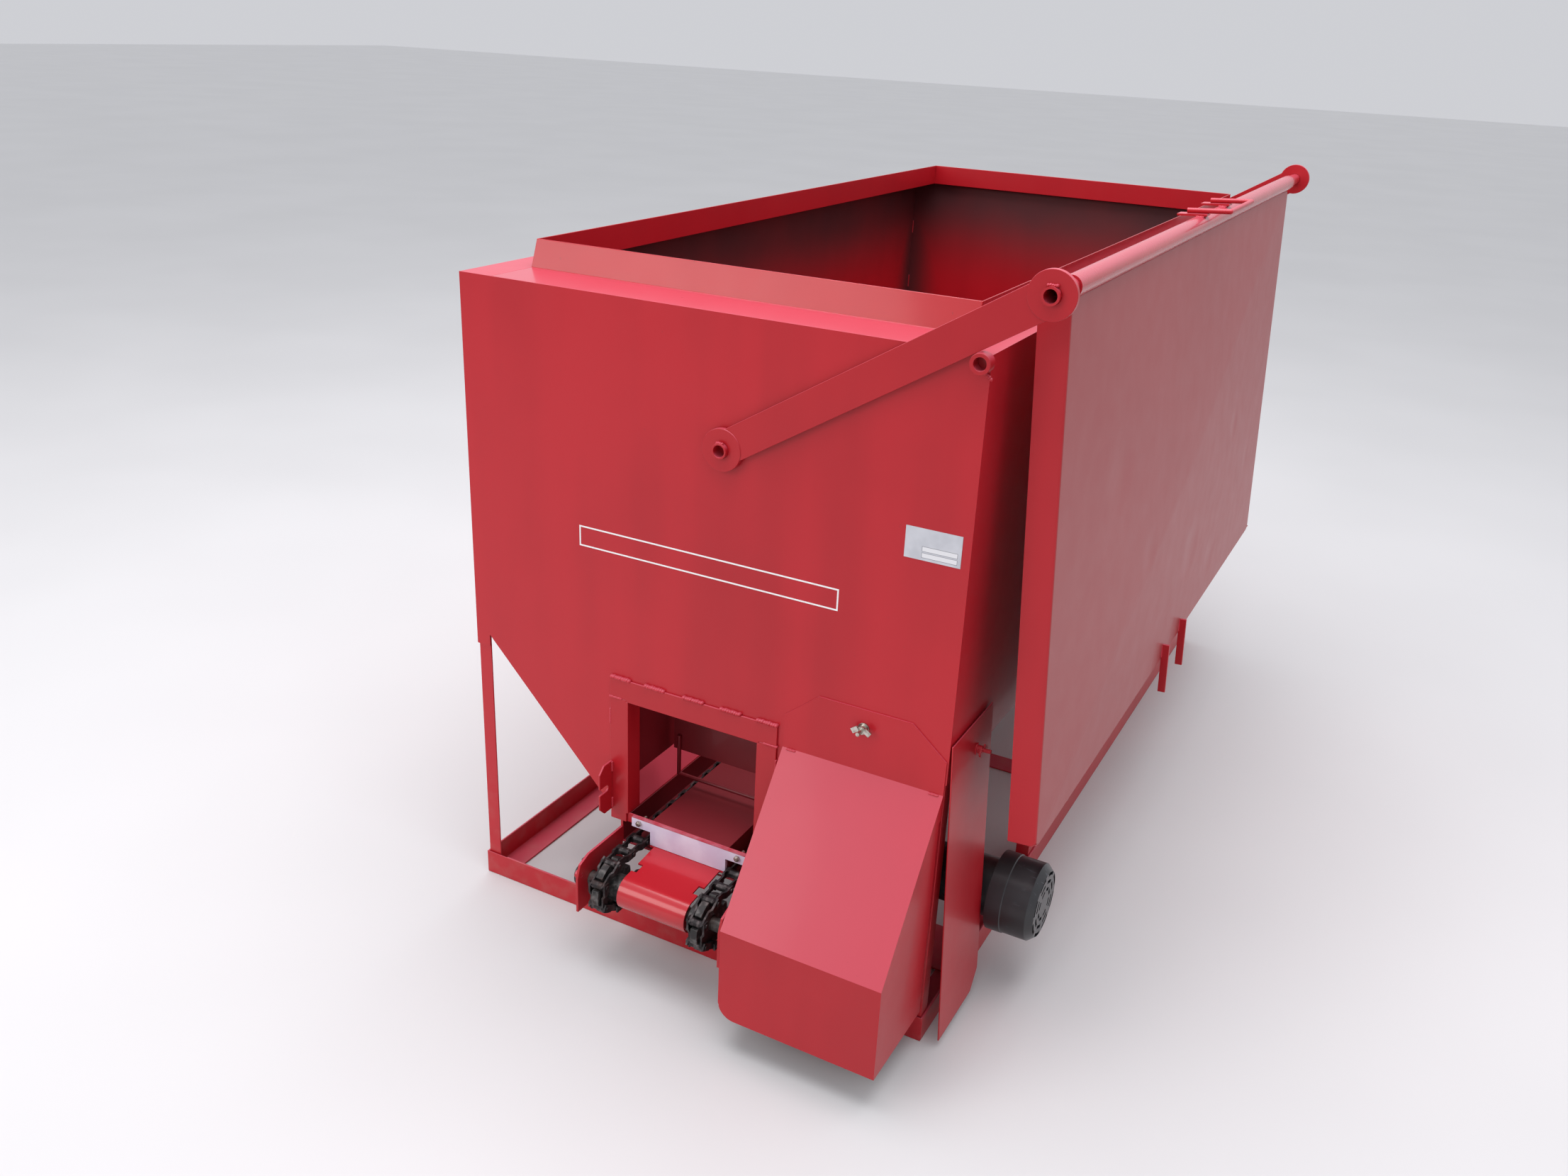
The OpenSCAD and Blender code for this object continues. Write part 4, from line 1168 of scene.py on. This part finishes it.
@dataclass
class PaintShop:
    """Every finish, made once."""

    shell: bpy.types.Material = field(init=False)
    coaming: bpy.types.Material = field(init=False)
    base: bpy.types.Material = field(init=False)
    trough: bpy.types.Material = field(init=False)
    bars: bpy.types.Material = field(init=False)
    pipe: bpy.types.Material = field(init=False)
    hood: bpy.types.Material = field(init=False)
    lid: bpy.types.Material = field(init=False)
    weld: bpy.types.Material = field(init=False)
    chain: bpy.types.Material = field(init=False)
    steel: bpy.types.Material = field(init=False)
    bright_steel: bpy.types.Material = field(init=False)
    casting: bpy.types.Material = field(init=False)
    zinc: bpy.types.Material = field(init=False)
    wing: bpy.types.Material = field(init=False)
    nose: bpy.types.Material = field(init=False)
    plastic: bpy.types.Material = field(init=False)
    black: bpy.types.Material = field(init=False)
    label: bpy.types.Material = field(init=False)
    ink: bpy.types.Material = field(init=False)

    def __post_init__(self) -> None:
        """Makes the finishes."""
        dents = (
            ((0.735, -0.42, 0.93), 0.085, 0.0036),
            ((0.742, 0.10, 0.78), 0.110, 0.0042),
            ((0.728, 0.55, 1.02), 0.075, 0.0034),
            ((0.752, 0.42, 0.66), 0.090, 0.0038),
            ((0.722, -0.75, 1.22), 0.120, 0.0030),
            ((0.738, 0.86, 0.84), 0.065, 0.0030),
        )
        # The shell carries painted shade inside the top of the hopper.
        self.shell = RedEnamel("shell_enamel", thin_coat_and_shade_inside=True).make()
        self.coaming = RedEnamel(
            "coaming_enamel", tone=(0.42, 0.009, 0.016), painted_top_light_from=(0.90, 0.99),
            gloss=0.30, coat=0.3, chips=0.3,
        ).make()
        self.base = RedEnamel("frame_enamel", dust=0.18, chips=0.15, waves=0.0002, gloss=0.38).make()
        self.trough = RedEnamel(
            "trough_enamel", tone=(0.17, 0.007, 0.012), deep=(0.11, 0.005, 0.008),
            painted_top_light=(0.17, 0.010, 0.016), chips=0.6, gloss=0.42,
        ).make()
        self.bars = RedEnamel("bar_enamel", tone=(0.43, 0.009, 0.016), waves=0.0001, chips=0.3).make()
        self.pipe = RedEnamel("pipe_enamel", waves=0.0, gloss=0.26, coat=0.4, chips=0.1).make()
        self.hood = RedEnamel("hood_enamel", waves=0.0005, gloss=0.36, chips=0.2).make()
        # The lid's right-facing faces carry a painted reflection of the pale ground.
        self.lid = RedEnamel(
            "lid_enamel", painted_side_reflection=(0.33, 0.050, 0.052), gloss=0.42, coat=0.1,
            waves=0.0016, dents=dents, chips=0.1,
        ).make()
        self.weld = RedEnamel(
            "weld_enamel", tone=(0.56, 0.030, 0.048), waves=0.0, gloss=0.28, chips=0.0
        ).make()
        self.chain = OiledSteel("chain_steel").make()
        self.steel = OiledSteel(
            "sprocket_steel", tone=(0.040, 0.038, 0.038), bright=(0.15, 0.14, 0.135), rust=0.35
        ).make()
        self.bright_steel = OiledSteel(
            "shaft_steel", tone=(0.16, 0.15, 0.14), bright=(0.30, 0.28, 0.26), rust=0.3, gloss=0.30
        ).make()
        self.casting = OiledSteel(
            "bearing_casting", tone=(0.035, 0.035, 0.038), bright=(0.07, 0.07, 0.075),
            rust=0.1, gloss=0.48,
        ).make()
        self.zinc = ZincPlate("zinc_plate").make()
        self.wing = ZincPlate("wing_nut_plate", sprayed_from=HALF_W).make()
        self.nose = RedEnamel(
            "nose_enamel", painted_top_light=(0.47, 0.014, 0.024), gloss=0.22, coat=0.5, waves=0.0, chips=0.3
        ).make()
        self.plastic = SlipperyPlastic("wiper_plastic", edge_z=0.328).make()
        self.black = SatinBlack("motor_black").make()
        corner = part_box("label_plate")[0]
        self.label = LabelFilm("label_film", left=corner.x, low=corner.z).make()
        self.ink = WhiteInk("stripe_ink").make()


@dataclass
class Studio:
    """Camera, pale floor and soft lights.

    Attributes:
        eye: Camera's place, in metres.
        yaw: Turn to the left of +Y, in degrees.
        pitch: Turn below the horizon, in degrees.
        roll: Turn about the view, in degrees.
        lens: Focal length on a 36 mm sensor.
        sky: Strength of the sky at the horizon and overhead.
        rise: Heights of the view's direction at which the two strengths are reached.
        air: Colour of the sky.
    """

    eye: Point = (1.374, -3.4964, 2.0866)
    yaw: float = 27.279
    pitch: float = 23.208
    roll: float = 2.742
    lens: float = 30.71
    sky: tuple[float, float] = (0.66, 0.96)
    rise: tuple[float, float] = (0.05, 0.90)
    air: Colour = (0.94, 0.95, 1.0)

    def build(self) -> None:
        """Makes the camera, the floor and the lights."""
        self._camera()
        self._floor()
        self._lights()

    def _camera(self) -> None:
        """Makes the camera and makes it the scene's own."""
        y, p, r = (math.radians(v) for v in (self.yaw, self.pitch, self.roll))
        ahead = Vector((-math.sin(y) * math.cos(p), math.cos(y) * math.cos(p), -math.sin(p)))
        right = Vector((math.cos(y), math.sin(y), 0.0))
        up = right.cross(ahead)
        across = right * math.cos(r) + up * math.sin(r)
        above = up * math.cos(r) - right * math.sin(r)
        data = bpy.data.cameras.new("view_camera")
        data.lens = self.lens
        data.sensor_width = 36.0
        data.sensor_fit = "HORIZONTAL"
        data.clip_end = 200.0
        made = bpy.data.objects.new("view_camera", data)
        bpy.context.scene.collection.objects.link(made)
        turn = Matrix((across, above, -ahead)).transposed().to_4x4()
        made.matrix_world = Matrix.Translation(self.eye) @ turn
        bpy.context.scene.camera = made

    def _floor(self) -> None:
        """Makes the floor."""
        bm = bmesh.new()
        bmesh.ops.create_grid(bm, x_segments=4, y_segments=4, size=45.0)
        bmesh.ops.translate(bm, verts=bm.verts, vec=(0, 0, -0.0005))
        made = settle("studio_floor", bm)
        made.data.materials.append(StudioFloor("floor_paint").make())

    def _lamp(self, name: str, place: Point, aim: Point, size: float, power: float, colour: Colour) -> None:
        """Makes one soft area light.

        Args:
            name: The light's name.
            place: Its place, in metres.
            aim: The point that it faces.
            size: Its width, in metres.
            power: Its power, in watts.
            colour: Its colour.
        """
        data = bpy.data.lights.new(name, "AREA")
        data.shape = "DISK"
        data.size = size
        data.energy = power
        data.color = colour
        made = bpy.data.objects.new(name, data)
        bpy.context.scene.collection.objects.link(made)
        made.location = place
        made.rotation_mode = "QUATERNION"
        made.rotation_quaternion = (Vector(aim) - Vector(place)).to_track_quat("-Z", "Y")

    def _lights(self) -> None:
        """Makes the sky and the lamps."""
        world = bpy.data.worlds.new("soft_sky")
        bpy.context.scene.world = world
        world.use_nodes = True
        tree = world.node_tree
        sky = tree.nodes["Background"]
        height = tree.nodes.new("ShaderNodeSeparateXYZ")
        tree.links.new(tree.nodes.new("ShaderNodeTexCoord").outputs["Generated"], height.inputs[0])
        dome = tree.nodes.new("ShaderNodeMapRange")
        for socket, value in enumerate((*self.rise, *self.sky), start=1):
            dome.inputs[socket].default_value = value
        tree.links.new(height.outputs[2], dome.inputs[0])
        tree.links.new(dome.outputs[0], sky.inputs[1])
        sky.inputs[0].default_value = (*self.air, 1.0)
        self._lamp("overhead", (0.0, -0.6, 6.0), (0, 0, 0.8), 6.0, 330.0, (1.0, 0.97, 1.0))
        self._lamp("front_left", (-3.5, -6.0, 3.6), (0, -1.0, 0.9), 3.5, 105.0, (1.0, 0.98, 0.96))
        bpy.context.scene.view_settings.view_transform = "Standard"


def main() -> None:
    """Builds the looks round the frame."""
    logging.basicConfig(level=logging.INFO, format="%(name)s: %(message)s")
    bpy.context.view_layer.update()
    Studio().build()
    shop = PaintShop()
    groups = (HopperShell, BaseFrame, DischargeEnd, Conveyor, DriveSide, RollOverLid, TripGate)
    for part in [group() for group in groups]:
        part.build(shop)
        log.info("%s is done", type(part).__name__)
    bpy.context.view_layer.update()


if __name__ == "__main__":
    main()
